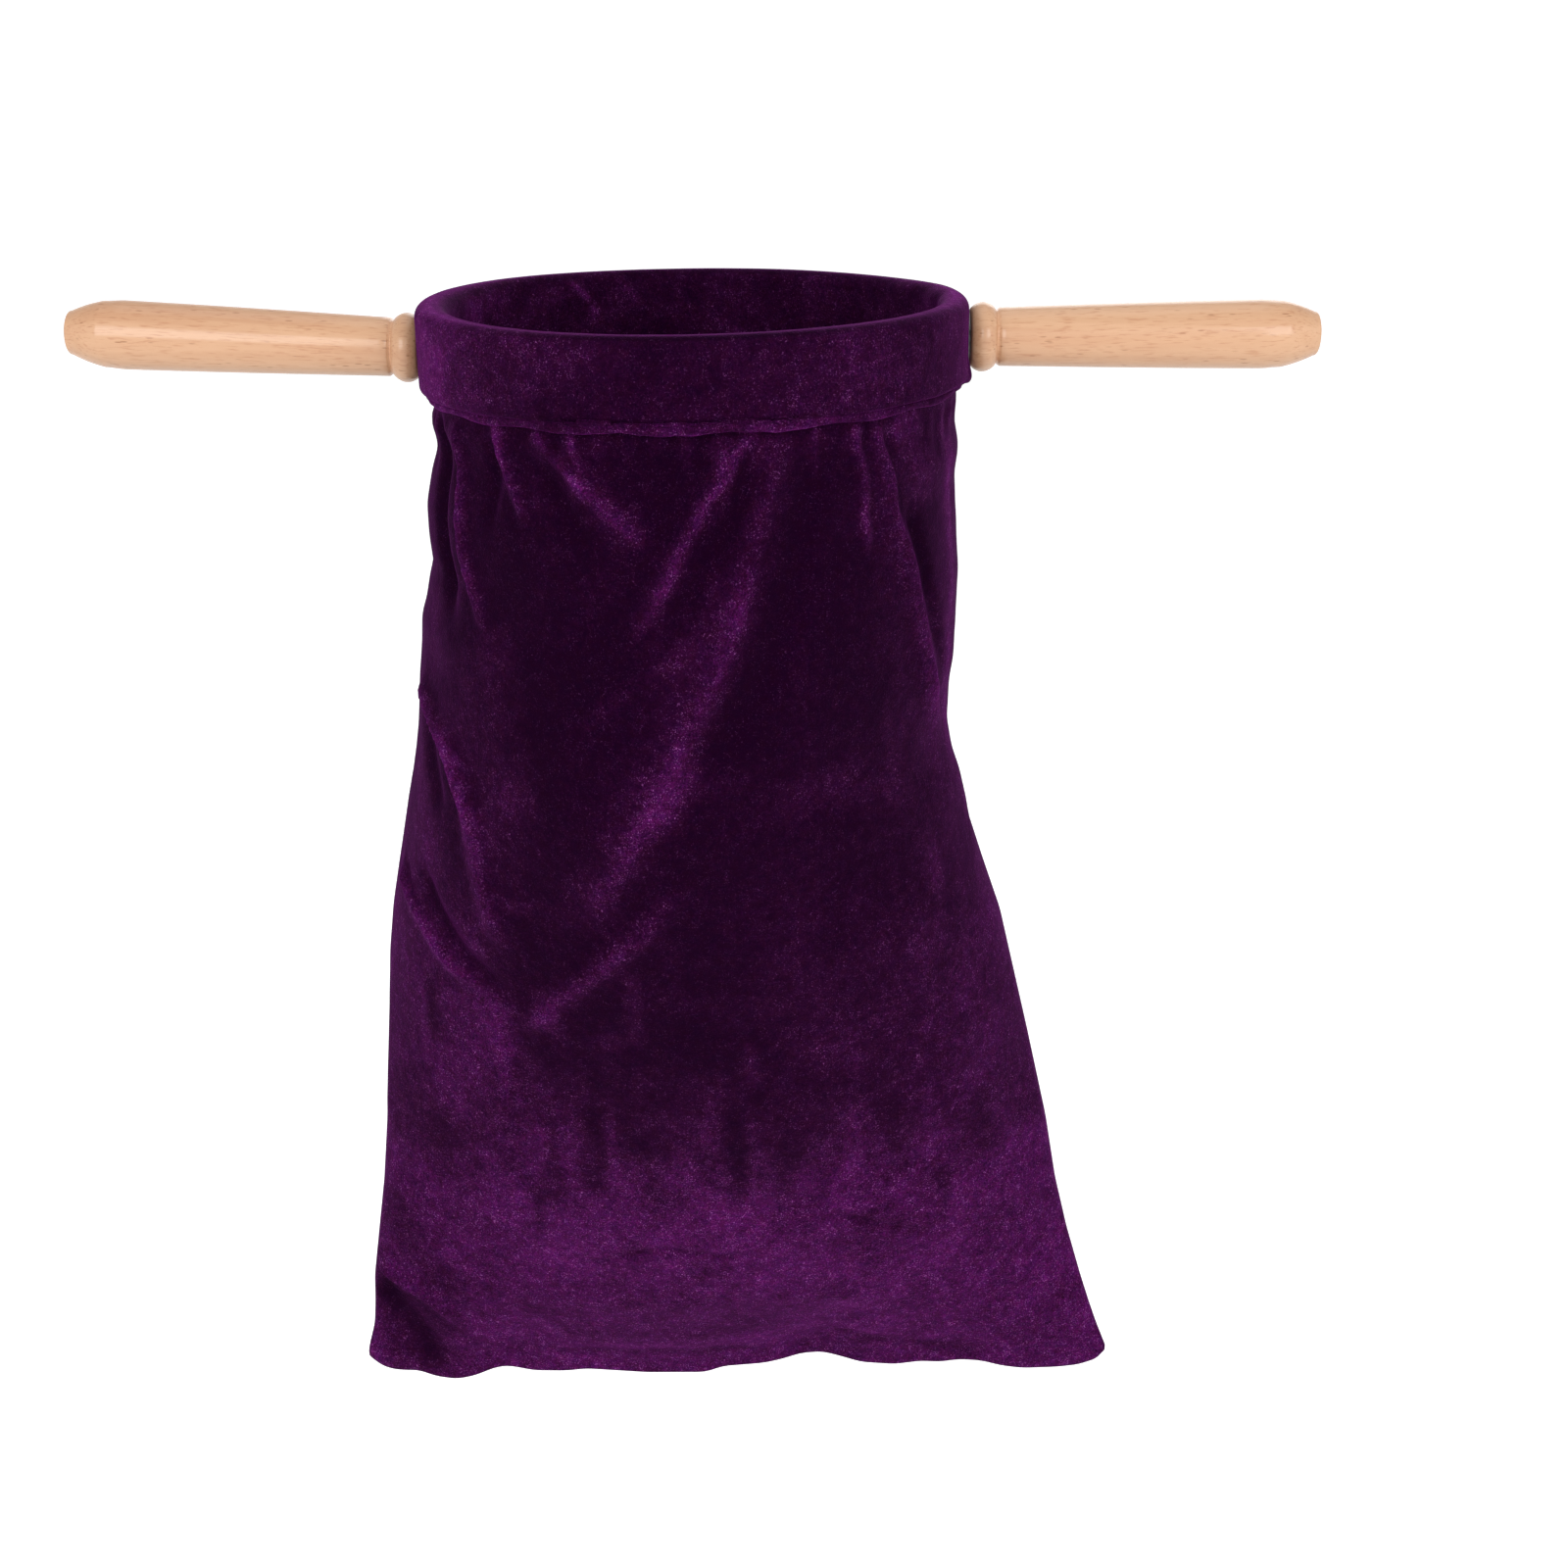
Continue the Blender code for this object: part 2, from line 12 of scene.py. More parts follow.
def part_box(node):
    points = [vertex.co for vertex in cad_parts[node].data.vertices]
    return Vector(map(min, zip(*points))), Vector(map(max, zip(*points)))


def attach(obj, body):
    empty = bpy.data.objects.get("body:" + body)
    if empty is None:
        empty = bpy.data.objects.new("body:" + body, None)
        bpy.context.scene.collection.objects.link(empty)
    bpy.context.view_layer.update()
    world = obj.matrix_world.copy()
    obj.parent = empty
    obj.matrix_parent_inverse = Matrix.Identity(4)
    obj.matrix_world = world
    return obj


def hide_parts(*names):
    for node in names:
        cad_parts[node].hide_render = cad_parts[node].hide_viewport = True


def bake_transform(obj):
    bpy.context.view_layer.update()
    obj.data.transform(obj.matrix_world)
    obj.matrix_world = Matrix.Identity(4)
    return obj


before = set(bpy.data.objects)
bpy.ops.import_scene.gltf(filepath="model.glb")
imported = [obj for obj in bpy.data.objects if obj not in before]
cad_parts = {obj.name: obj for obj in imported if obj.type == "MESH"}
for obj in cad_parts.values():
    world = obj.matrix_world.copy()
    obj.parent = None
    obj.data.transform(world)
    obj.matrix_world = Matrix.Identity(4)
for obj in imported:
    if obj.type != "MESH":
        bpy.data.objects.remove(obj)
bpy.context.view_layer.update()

MM = 0.001
VELVET = 1.2 * MM

# Places read from the frame
SLEEVE_LOW, SLEEVE_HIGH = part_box("rim_sleeve")
PANEL_LOW, PANEL_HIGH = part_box("front_panel")
HOOP_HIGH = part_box("hoop")[1]
SLEEVE_OUTER = SLEEVE_HIGH[0]
HOOP_OUTER = HOOP_HIGH[0]
HOOP_TOP = HOOP_HIGH[2]
LIP_BOTTOM = -SLEEVE_LOW[2]
HEM_DEPTH = -PANEL_LOW[2]
BAG_TOP = -PANEL_HIGH[2]
WRAP_GAP = SLEEVE_OUTER - HOOP_OUTER - VELVET
HOOP_WALL = 5.0 * MM
HOOP_MIDDLE = HOOP_OUTER - HOOP_WALL / 2

# The camera of the photograph, whose picture is 1600 pixels square
PICTURE = 1600
FOCAL_PIXELS = 2075
SENSOR = 36
CAMERA_PLACE = (0.0223, -0.58, 0.0795)
CAMERA_PITCH = math.radians(20.1)
CAMERA_ROLL = math.radians(1.175)

# The studio: its paper floor in metres, and its lamps as name, place, size and watts
FLOOR_LEVEL = -0.62
FLOOR_REACH = 3.2
SWEEP = 1.0
SWEEP_STEPS = 12
BACK_WALL = 2.2
FLOOR_SIDES = 72
LAMPS = (
    ("key_left", (-0.7, -1.5, 0.55), (0.9, 0.9), 13.5),
    ("key_right", (0.85, -1.35, 0.45), (0.8, 0.8), 10.5),
    ("back", (0.3, 1.6, 0.7), (1.2, 1.0), 7),
    ("top", (0.0, 0.3, 1.3), (1.2, 0.8), 2.5),
)
LAMP_AIM = (0, 0, -0.1)
WORLD_LIGHT = 0.42
PAPER_GLOW = 0.6


def smooth(low, high, value):
    """0 at low, 1 at high, with a soft run between them."""
    t = np.clip((value - low) / (high - low), 0, 1)
    return t * t * (3 - 2 * t)


def shares(steps):
    """Even shares from 0 to 1."""
    return [step / steps for step in range(steps + 1)]


def linear(colour):
    """An sRGB hex colour as linear light."""
    channels = [int(colour[i:i + 2], 16) / 255 for i in (1, 3, 5)]
    return tuple(c / 12.92 if c <= 0.04045 else ((c + 0.055) / 1.055) ** 2.4 for c in channels) + (1.0,)


def add(tree, kind, feeds=None, spans=(), stops=(), **settings):
    """One node. Settings are its properties and its plain sockets. Feeds go into its sockets:
    a number, a socket, or a node, which gives its first output. Spans are a range's ends: from low,
    from high, to low, to high. Stops are a ramp's places and hex colours."""
    made = tree.nodes.new("ShaderNode" + kind)
    for key, value in settings.items():
        if hasattr(made, key):
            setattr(made, key, value)
        else:
            made.inputs[key.replace("_", " ")].default_value = value
    for socket, source in (feeds or {}).items():
        if isinstance(source, (int, float)):
            made.inputs[socket].default_value = source
        elif isinstance(source, bpy.types.Node):
            first = next(output for output in source.outputs if output.enabled)
            tree.links.new(first, made.inputs[socket])
        else:
            tree.links.new(source, made.inputs[socket])
    for index, value in enumerate(spans, 1):
        made.inputs[index].default_value = value
    for _ in stops[2:]:
        made.color_ramp.elements.new(0.5)
    for index, (place, colour) in enumerate(stops):
        made.color_ramp.elements[index].position = place
        made.color_ramp.elements[index].color = linear(colour)
    return made


def new_material(name):
    material = bpy.data.materials.new(name)
    material.use_nodes = True
    material.node_tree.nodes.clear()
    return material, material.node_tree


# Camera, light and ground

def make_camera():
    data = bpy.data.cameras.new("camera")
    data.sensor_width = SENSOR
    data.lens = FOCAL_PIXELS / PICTURE * data.sensor_width
    camera = placed("camera", data)
    upright = Matrix.Rotation(math.pi / 2 - CAMERA_PITCH, 4, "X")
    roll = Matrix.Rotation(-CAMERA_ROLL, 4, "Z")
    camera.matrix_world = Matrix.Translation(CAMERA_PLACE) @ upright @ roll
    bpy.context.scene.camera = camera


def hang_lamp(name, place, size, watts):
    """A soft box that looks at the bag."""
    data = bpy.data.lights.new(name, "AREA")
    data.shape = "RECTANGLE"
    data.size, data.size_y = size
    data.energy = watts
    lamp = placed(name, data)
    lamp.location = place
    lamp.rotation_euler = (Vector(LAMP_AIM) - Vector(place)).to_track_quat("-Z", "Y").to_euler()


def seamless_paper():
    """Studio paper off the roll, calendered matt: it keeps a soft shadow, and is clean white
    where the camera looks."""
    material, tree = new_material("seamless_paper")
    matt = add(tree, "BsdfPrincipled", Base_Color=linear("#f2f2f2"), Roughness=0.9)
    path = add(tree, "LightPath")
    seen = add(tree, "Math", {0: path.outputs["Is Camera Ray"], 1: path.outputs["Is Glossy Ray"]},
               operation="MAXIMUM")
    seen = add(tree, "Math", {0: seen, 1: path.outputs["Is Transmission Ray"]}, operation="MAXIMUM")
    strength = add(tree, "Math", {0: seen, 1: PAPER_GLOW}, operation="MULTIPLY")
    glow = add(tree, "Emission", {"Strength": strength}, Color=linear("#ffffff"))
    both = add(tree, "AddShader", {0: matt, 1: glow})
    add(tree, "OutputMaterial", {"Surface": both})
    return material


def make_floor():
    """A round pale floor well below the hem that sweeps up on every side."""
    flat = FLOOR_REACH - SWEEP
    profile = [(0.001, FLOOR_LEVEL), (1.0, FLOOR_LEVEL), (flat, FLOOR_LEVEL)]
    for share in shares(SWEEP_STEPS)[1:]:
        turn = share * math.pi / 2
        profile.append((flat + SWEEP * math.sin(turn), FLOOR_LEVEL + SWEEP * (1 - math.cos(turn))))
    profile.append((FLOOR_REACH, FLOOR_LEVEL + BACK_WALL))
    turns = np.linspace(0, 2 * math.pi, FLOOR_SIDES, endpoint=False)
    points = np.array([[(r * math.cos(t), r * math.sin(t), z) for t in turns] for r, z in profile])
    floor = grid_object("studio_floor", points, seamless_paper(), wrap=True)


def make_sky():
    """Even light from all round, and white behind the paper's edge."""
    world = bpy.data.worlds.new("studio")
    bpy.context.scene.world = world
    world.use_nodes = True
    tree = world.node_tree
    tree.nodes.clear()
    path = add(tree, "LightPath")
    seen = add(tree, "Math", {0: path.outputs["Is Camera Ray"], 1: path.outputs["Is Transmission Ray"]},
               operation="MAXIMUM")
    strength = add(tree, "MapRange", {"Value": seen}, To_Min=WORLD_LIGHT, To_Max=1.0)
    sky = add(tree, "Background", {"Strength": strength}, Color=linear("#ffffff"))
    add(tree, "OutputWorld", {"Surface": sky})


# Velvet and thread

def dyed_velvet(name, seed):
    """Polyester velvet, woven with a cut pile and piece-dyed purple. The pile drinks light where
    it is seen end-on, so those faces go nearly black, and glows where it is seen from the side
    or where it was brushed over. The mesh attribute read here paints much of that glow and
    darkness into the colour as painted highlights and painted shade, over real brushed pile."""
    material, tree = new_material(name)
    place = add(tree, "TexCoord").outputs["Object"]
    cloth = add(tree, "Mapping", {"Vector": place}, Location=(seed, seed, seed))
    # each pattern's size in mm, detail, roughness and distortion
    patterns = (
        # tufts are 0.3 mm across; drawn at 0.6 mm, the least that shows in the picture
        (0.6, 2.0, 0.65, 0.0),
        # single tips of pile that lie over and catch a lamp, 0.4 mm wide
        (0.4, 1.0, 0.5, 0.8),
        # curls of crushed pile, 1 mm wide
        (1.0, 2.0, 0.6, 2.2),
        # clumps of curls, 3.3 mm wide
        (3.3, 5.0, 0.7, 0.7),
        # patches brushed by hands, 18 mm wide
        (18, 6.0, 0.62, 0.8),
        # the dye took a little redder or bluer over every few tufts, 2.4 mm apart
        (2.4, 3.0, 0.7, 0.0),
    )
    tufts, tips, curls, crush, patch, dye = (
        add(tree, "TexNoise", {"Vector": cloth}, Scale=1 / (size * MM), Detail=detail,
            Roughness=rough, Distortion=bend)
        for size, detail, rough, bend in patterns)
    # painted highlights and painted shade, over real brushed pile, from the mesh attribute
    nap = add(tree, "Attribute", attribute_name="nap").outputs["Fac"]

    # pile that stands upright is dark and even, and pile that lies over is bright and tumbled; the
    # painted highlights and painted shade of the mesh attribute set where on the ramp each point falls
    tumbled = 0.0
    for pattern, low, high, most in (
            (patch, 0.3, 0.7, 0.12), (crush, 0.3, 0.7, 0.14), (curls, 0.32, 0.68, 0.16)):
        turned = add(tree, "MapRange", {"Value": pattern}, spans=(low, high, -most, most))
        tumbled = add(tree, "Math", {0: tumbled, 1: turned}, operation="ADD")
    tumble_gain = add(tree, "MapRange", {"Value": nap}, spans=(0.05, 0.55, 0.45, 1.1))
    tumbled = add(tree, "Math", {0: tumbled, 1: tumble_gain}, operation="MULTIPLY")
    grained = add(tree, "MapRange", {"Value": tufts}, spans=(0.3, 0.72, -0.13, 0.17))
    grain_gain = add(tree, "MapRange", {"Value": nap}, spans=(0.02, 0.45, 0.4, 1.1))
    grained = add(tree, "Math", {0: grained, 1: grain_gain}, operation="MULTIPLY")
    lift = add(tree, "Math", {0: nap, 1: tumbled}, operation="ADD")
    lift = add(tree, "Math", {0: lift, 1: grained}, operation="ADD")
    pile = add(tree, "ValToRGB", {"Fac": lift}, stops=(
        (0.0, "#160016"), (0.25, "#2a0528"), (0.5, "#450c46"), (0.75, "#5e145e"), (1.0, "#7d1f7e")))

    hue = add(tree, "MapRange", {"Value": dye}, spans=(0.35, 0.65, 0.465, 0.53))
    dyed = add(tree, "HueSaturation", {"Color": pile, "Hue": hue})

    # painted glints: bright tips that catch a lamp, painted into the colour in clumps, and mostly
    # where the painted light is brighter
    glinting = 1.0
    for pattern, low, high, least, most in (
            (tips, 0.62, 0.69, 0.0, 0.9), (crush, 0.42, 0.62, 0.15, 1.0), (lift, 0.10, 0.5, 0.12, 1.0)):
        share = add(tree, "MapRange", {"Value": pattern}, spans=(low, high, least, most))
        glinting = add(tree, "Math", {0: glinting, 1: share}, operation="MULTIPLY")
    painted_glints = add(tree, "Mix", {"Factor": glinting, "A": dyed}, data_type="RGBA", B=linear("#a45ba6"))

    tufted = add(tree, "Bump", {"Height": tufts}, Strength=0.5, Distance=0.35 * MM)
    crushed = add(tree, "Bump", {"Height": crush, "Normal": tufted}, Strength=0.5, Distance=0.5 * MM)
    worn = add(tree, "Bump", {"Height": patch, "Normal": crushed}, Strength=0.4, Distance=1.2 * MM)
    shader = add(tree, "BsdfPrincipled", {"Base Color": painted_glints, "Normal": worn}, Roughness=0.95,
                 Sheen_Weight=0.28, Sheen_Roughness=0.32, Sheen_Tint=linear("#b41eb8"),
                 Specular_Tint=linear("#d8b0dc"), Specular_IOR_Level=0.06)
    add(tree, "OutputMaterial", {"Surface": shader})
    return material


def spun_thread():
    """Spun polyester thread, twisted from two plies and dyed with the cloth: it has a faint gloss."""
    material, tree = new_material("spun_polyester_thread")
    place = add(tree, "TexCoord").outputs["Object"]
    # the plies turn over each other every 0.4 mm
    plies = add(tree, "TexNoise", {"Vector": place}, Scale=1 / (0.4 * MM), Detail=1.0)
    colour = add(tree, "ValToRGB", {"Fac": plies}, stops=((0.3, "#240829"), (0.7, "#3f1347")))
    twist = add(tree, "Bump", {"Height": plies}, Strength=0.4, Distance=0.1 * MM)
    shader = add(tree, "BsdfPrincipled", {"Base Color": colour, "Normal": twist}, Roughness=0.55)
    add(tree, "OutputMaterial", {"Surface": shader})
    return material


# Wood and metal

def lacquered_beech(name, seed):
    """Steamed beech, turned between centres, sanded and dipped in clear lacquer. Pale tan with
    short brown flecks along the grain, faint growth bands, and a gloss skin over the pores."""
    material, tree = new_material(name)
    place = add(tree, "TexCoord").outputs["Object"]
    # each handle comes from its own stretch of the plank
    plank = add(tree, "Mapping", {"Vector": place}, Location=(seed * 0.01, seed * 0.013, seed * 0.1))
    # growth bands 4.3 mm apart, and broader shades 14 mm apart, run the length of the handle
    slow = add(tree, "Mapping", {"Vector": plank}, Scale=(1, 1, 0.06))
    bands = add(tree, "TexNoise", {"Vector": slow}, Scale=1 / (4.3 * MM), Detail=3.0, Roughness=0.55,
                Distortion=0.8)
    broad = add(tree, "TexNoise", {"Vector": slow}, Scale=1 / (14 * MM), Detail=2.0, Roughness=0.5)
    tone = add(tree, "Math", {0: bands, 1: broad}, operation="ADD")
    tone = add(tree, "Math", {0: tone, 1: 0.5}, operation="MULTIPLY")
    wood = add(tree, "ValToRGB", {"Fac": tone}, stops=(
        (0.36, "#cf9d78"), (0.5, "#d6a782"), (0.64, "#dcaf8b")))

    # pores 0.15 mm wide and 2 mm long, one every 0.48 mm, drawn 0.25 mm wide so that they show
    grain = add(tree, "Mapping", {"Vector": plank}, Scale=(1, 1, 0.10))
    pores = add(tree, "TexNoise", {"Vector": grain}, Scale=1 / (0.48 * MM), Detail=2.0, Roughness=0.5)
    sunk = add(tree, "MapRange", {"Value": pores}, spans=(0.54, 0.70, 0.0, 0.35))
    pored = add(tree, "Mix", {"Factor": sunk, "A": wood}, data_type="RGBA", blend_type="MULTIPLY",
                B=linear("#cf9a6c"))

    # ray flecks 0.5 mm wide and 2.5 mm long, in cells 1.1 mm wide, that come in groups 2.4 mm apart
    rays = add(tree, "Mapping", {"Vector": plank}, Scale=(1, 1, 0.20))
    cells = add(tree, "TexVoronoi", {"Vector": rays}, Scale=1 / (1.1 * MM), Randomness=1.0)
    fleck = add(tree, "MapRange", {"Value": cells}, spans=(0.12, 0.24, 1.0, 0.0))
    groups = add(tree, "TexNoise", {"Vector": grain}, Scale=1 / (2.4 * MM), Detail=1.0)
    grouped = add(tree, "MapRange", {"Value": groups}, spans=(0.50, 0.62))
    fleck = add(tree, "Math", {0: fleck, 1: grouped}, operation="MULTIPLY")
    browned = add(tree, "Math", {0: fleck, 1: 0.7}, operation="MULTIPLY")
    flecked = add(tree, "Mix", {"Factor": browned, "A": pored}, data_type="RGBA", B=linear("#9c6238"))

    dent = add(tree, "Math", {0: fleck, 1: -0.6}, operation="MULTIPLY")
    height = add(tree, "Math", {0: pores, 1: dent}, operation="ADD")
    skin = add(tree, "Bump", {"Height": height}, Strength=0.25, Distance=0.08 * MM)
    rough = add(tree, "MapRange", {"Value": tone}, spans=(0.35, 0.65, 0.50, 0.60))
    shader = add(tree, "BsdfPrincipled", {"Base Color": flecked, "Roughness": rough, "Normal": skin},
                 Coat_Weight=0.5, Coat_Roughness=0.12, Coat_IOR=1.5)
    add(tree, "OutputMaterial", {"Surface": shader})
    return material


def bare_beech():
    """Steam-bent beech lath, sawn and left bare under its cloth: duller and browner than lacquer."""
    material, tree = new_material("steam_bent_beech")
    place = add(tree, "TexCoord").outputs["Object"]
    # saw marks and grain 1.1 mm apart, drawn out along the lath
    along = add(tree, "Mapping", {"Vector": place}, Scale=(0.15, 0.15, 1))
    grain = add(tree, "TexNoise", {"Vector": along}, Scale=1 / (1.1 * MM), Detail=4.0, Roughness=0.6)
    colour = add(tree, "ValToRGB", {"Fac": grain}, stops=((0.35, "#b98a60"), (0.65, "#d6aa80")))
    sawn = add(tree, "Bump", {"Height": grain}, Strength=0.3, Distance=0.15 * MM)
    shader = add(tree, "BsdfPrincipled", {"Base Color": colour, "Normal": sawn}, Roughness=0.75)
    add(tree, "OutputMaterial", {"Surface": shader})
    return material


def bright_zinc():
    """Steel screws, headed and thread-rolled, then zinc plated: a cool grey with fine tool lines."""
    material, tree = new_material("zinc_plated_steel")
    place = add(tree, "TexCoord").outputs["Object"]
    # tool lines 0.55 mm apart
    lines = add(tree, "TexNoise", {"Vector": place}, Scale=1 / (0.55 * MM), Detail=3.0)
    colour = add(tree, "ValToRGB", {"Fac": lines}, stops=((0.3, "#9c9fa1"), (0.7, "#c9cccd")))
    rough = add(tree, "MapRange", {"Value": lines}, spans=(0.3, 0.7, 0.28, 0.42))
    tooled = add(tree, "Bump", {"Height": lines}, Strength=0.15, Distance=0.05 * MM)
    shader = add(tree, "BsdfPrincipled", {"Base Color": colour, "Roughness": rough, "Normal": tooled},
                 Metallic=1.0)
    add(tree, "OutputMaterial", {"Surface": shader})
    return material


# Meshes from grids

def placed(name, data):
    """A new object of the scene with its mesh, lamp or camera."""
    made = bpy.data.objects.new(name, data)
    bpy.context.scene.collection.objects.link(made)
    return made


def grid_object(name, points, material, wrap=False, values=None):
    """A mesh from rows and columns of points in metres, with a value of painted light and nap at each.
    """
    rows, columns = points.shape[:2]
    index = np.arange(rows * columns).reshape(rows, columns)
    a, b = (index, np.roll(index, -1, axis=1)) if wrap else (index[:, :-1], index[:, 1:])
    quads = np.stack([a[:-1], a[1:], b[1:], b[:-1]], -1).reshape(-1, 4)
    mesh = bpy.data.meshes.new(name)
    mesh.from_pydata(points.reshape(-1, 3).tolist(), [], quads.tolist())
    if values is not None:
        layer = mesh.attributes.new("nap", "FLOAT", "POINT")
        layer.data.foreach_set("value", values.reshape(-1).astype(np.float32))
    mesh.shade_smooth()
    mesh.materials.append(material)
    return placed(name, mesh)


def fuzz(points, size, seed, tallness=1.0):
    """Smooth noise from -1 to 1 at each point, with lumps of a given width in metres and so many
    times as tall."""
    offset = Vector((seed * 7.1, seed * 3.7, seed * 1.9))
    flat = points.reshape(-1, 3) / (size, size, size * tallness)
    return np.array([noise.noise(Vector(p) + offset) for p in flat]).reshape(points.shape[:2])


def thicken(piece):
    """Give a sheet the velvet's thickness, inwards from the face that is seen."""
    solid = piece.modifiers.new("cloth", "SOLIDIFY")
    solid.thickness = VELVET
    solid.offset = -1.0
    solid.use_even_offset = False
    solid.use_rim = True


def distances(line):
    """How far along a line of points each of them lies."""
    return np.concatenate([[0], np.cumsum(np.linalg.norm(np.diff(line, axis=0), axis=1))])


def sampled(line, at):
    """The points at given distances along a line of points."""
    lengths = distances(line)
    return np.stack([np.interp(at, lengths, column) for column in line.T], -1)


# The bag's two panels

# Where the picture's outline runs, in millimetres: depth under the hoop's centre, then place
LEFT_EDGE = (
    (10, -73.2), (18, -74.9), (22, -73.5), (26, -73.6), (30, -75.0), (34, -76.0), (38, -76.9),
    (42, -77.6), (50, -77.9), (58, -77.1), (62, -78.5), (70, -80.2), (74, -81.8), (82, -82.5),
    (91, -83.9), (107, -85.5), (122, -88.7), (137, -92.2), (152, -95.6), (168, -99.1),
    (184, -101.6), (209, -103.9), (242, -107.4), (266, -110.6), (285, -113.9), (303, -117.0),
    (313, -117.7), (322, -118.7), (332, -121.6), (345, -122.8))
RIGHT_EDGE = (
    (10, 73.2), (21, 72.6), (29, 73.9), (37, 72.5), (49, 73.2), (65, 74.2), (81, 73.6), (90, 73.2),
    (98, 71.8), (110, 70.8), (118, 72.1), (126, 74.6), (142, 78.0), (158, 83.0), (175, 88.6),
    (192, 92.4), (217, 98.0), (248, 104.6), (271, 108.3), (290, 112.6), (309, 117.8), (319, 120.8),
    (328, 123.7), (338, 127.4), (345, 128.5))
# How far the cloth stands out in front and behind, at the same depths
STANDING_OUT = (
    (10, 73.2), (18, 74.4), (48, 76.0), (99, 77.0), (125, 75.0), (157, 68.0), (189, 59.5),
    (228, 50.0), (266, 39.0), (302, 25.0), (325, 13.0), (336, 6.5), (341, 4.2), (345, 3.2))
# The hem's soft scallops: place across, then depth
HEM_LINE = (
    (-123, 334), (-118.4, 338.5), (-115, 340.3), (-111, 341.0), (-105, 341.2), (-99, 343.8),
    (-92, 344.9), (-86, 343.6), (-79, 340.4), (-75, 339.8), (-66, 341.8), (-55, 342.0),
    (-48, 341.3), (-28, 343.2), (-8, 343.6), (-2, 341.4), (12, 340.4), (18, 339.0), (25, 336.8),
    (32, 336.5), (38, 338.4), (45, 341.0), (56, 342.1), (65, 341.0), (71, 341.6), (78, 340.8),
    (85, 341.5), (92, 343.8), (99, 345.0), (111, 345.0), (118, 344.3), (125, 342.0), (128, 338.0))
PANEL_ROWS = 240
PANEL_COLUMNS = 190
# How much the rows crowd towards the neck and the hem
ROW_CROWDING = 0.06
# How far under the solid's top edge the cloth starts
TOP_TUCK = 0.3
SEAM_ROUND = 1.3
HEM_ROUND = 2.0
HEM_STEPS = 6
# The hem's half width and its middle, for its scallops
HEM_HALF = 125
HEM_MIDDLE = 3
# From this depth on, the rows bend down to the scallops, and at the foot they follow them
BENDS_FROM = 262
BAG_FOOT = 345
# Between these depths the round gathered neck opens into the bag
NECK_TOP = 11.0
NECK_FOOT = 18.0
NECK_FULLNESS = 0.6
# The bag's section is a plain round at the first depth and has sharpened by so much at the last
SHARPENS_FROM = 16
SHARPENS_OVER = 321
SHARPENED = 0.45
# How much the whole bag's pile was worn over
WORN_OVER = 0.018


def through(table, values, spread=2.0):
    """Smooth values through a table of (place, value), by averaging straight runs."""
    places, heights = np.array(table, float).T
    taps = (-1.0, -0.5, 0.0, 0.5, 1.0)
    return sum(np.interp(values + tap * spread, places, heights) for tap in taps) / len(taps)


class Fold:
    """A ridge or hollow in the cloth: its line in millimetres across the panel and down it,
    how far it stands out, its half width, how much painted highlight it lays on the colour,
    painted shade where that is negative, and how much steeper one flank is than the other."""

    def __init__(self, line, height, width, nap=0.0, lean=0.0):
        self.line = np.array(line, float)
        self.height, self.width, self.nap, self.lean = height, width, nap, lean

    def over(self, across, down):
        """How much of the fold is at each point: 1 on its line, fading to both flanks and ends."""
        start, end = self.line[:-1], self.line[1:]
        lengths = np.linalg.norm(end - start, axis=1)
        total, run = lengths.sum(), 0.0
        nearest = np.full(across.shape, np.inf)
        side = np.zeros(across.shape)
        along = np.zeros(across.shape)
        for a, b, length in zip(start, end, lengths):
            direction = (b - a) / length
            dx, dy = across - a[0], down - a[1]
            t = np.clip(dx * direction[0] + dy * direction[1], 0, length)
            ox, oy = dx - direction[0] * t, dy - direction[1] * t
            distance = np.hypot(ox, oy)
            closer = distance < nearest
            nearest = np.where(closer, distance, nearest)
            side = np.where(closer, ox * direction[1] - oy * direction[0], side)
            along = np.where(closer, (run + t) / total, along)
            run += length
        ends = np.minimum(smooth(-0.02, 0.16, along), 1 - smooth(0.72, 1.02, along))
        skewed = nearest * (1 + self.lean * np.tanh(side / self.width))
        return np.exp(-(skewed / self.width) ** 2) * ends
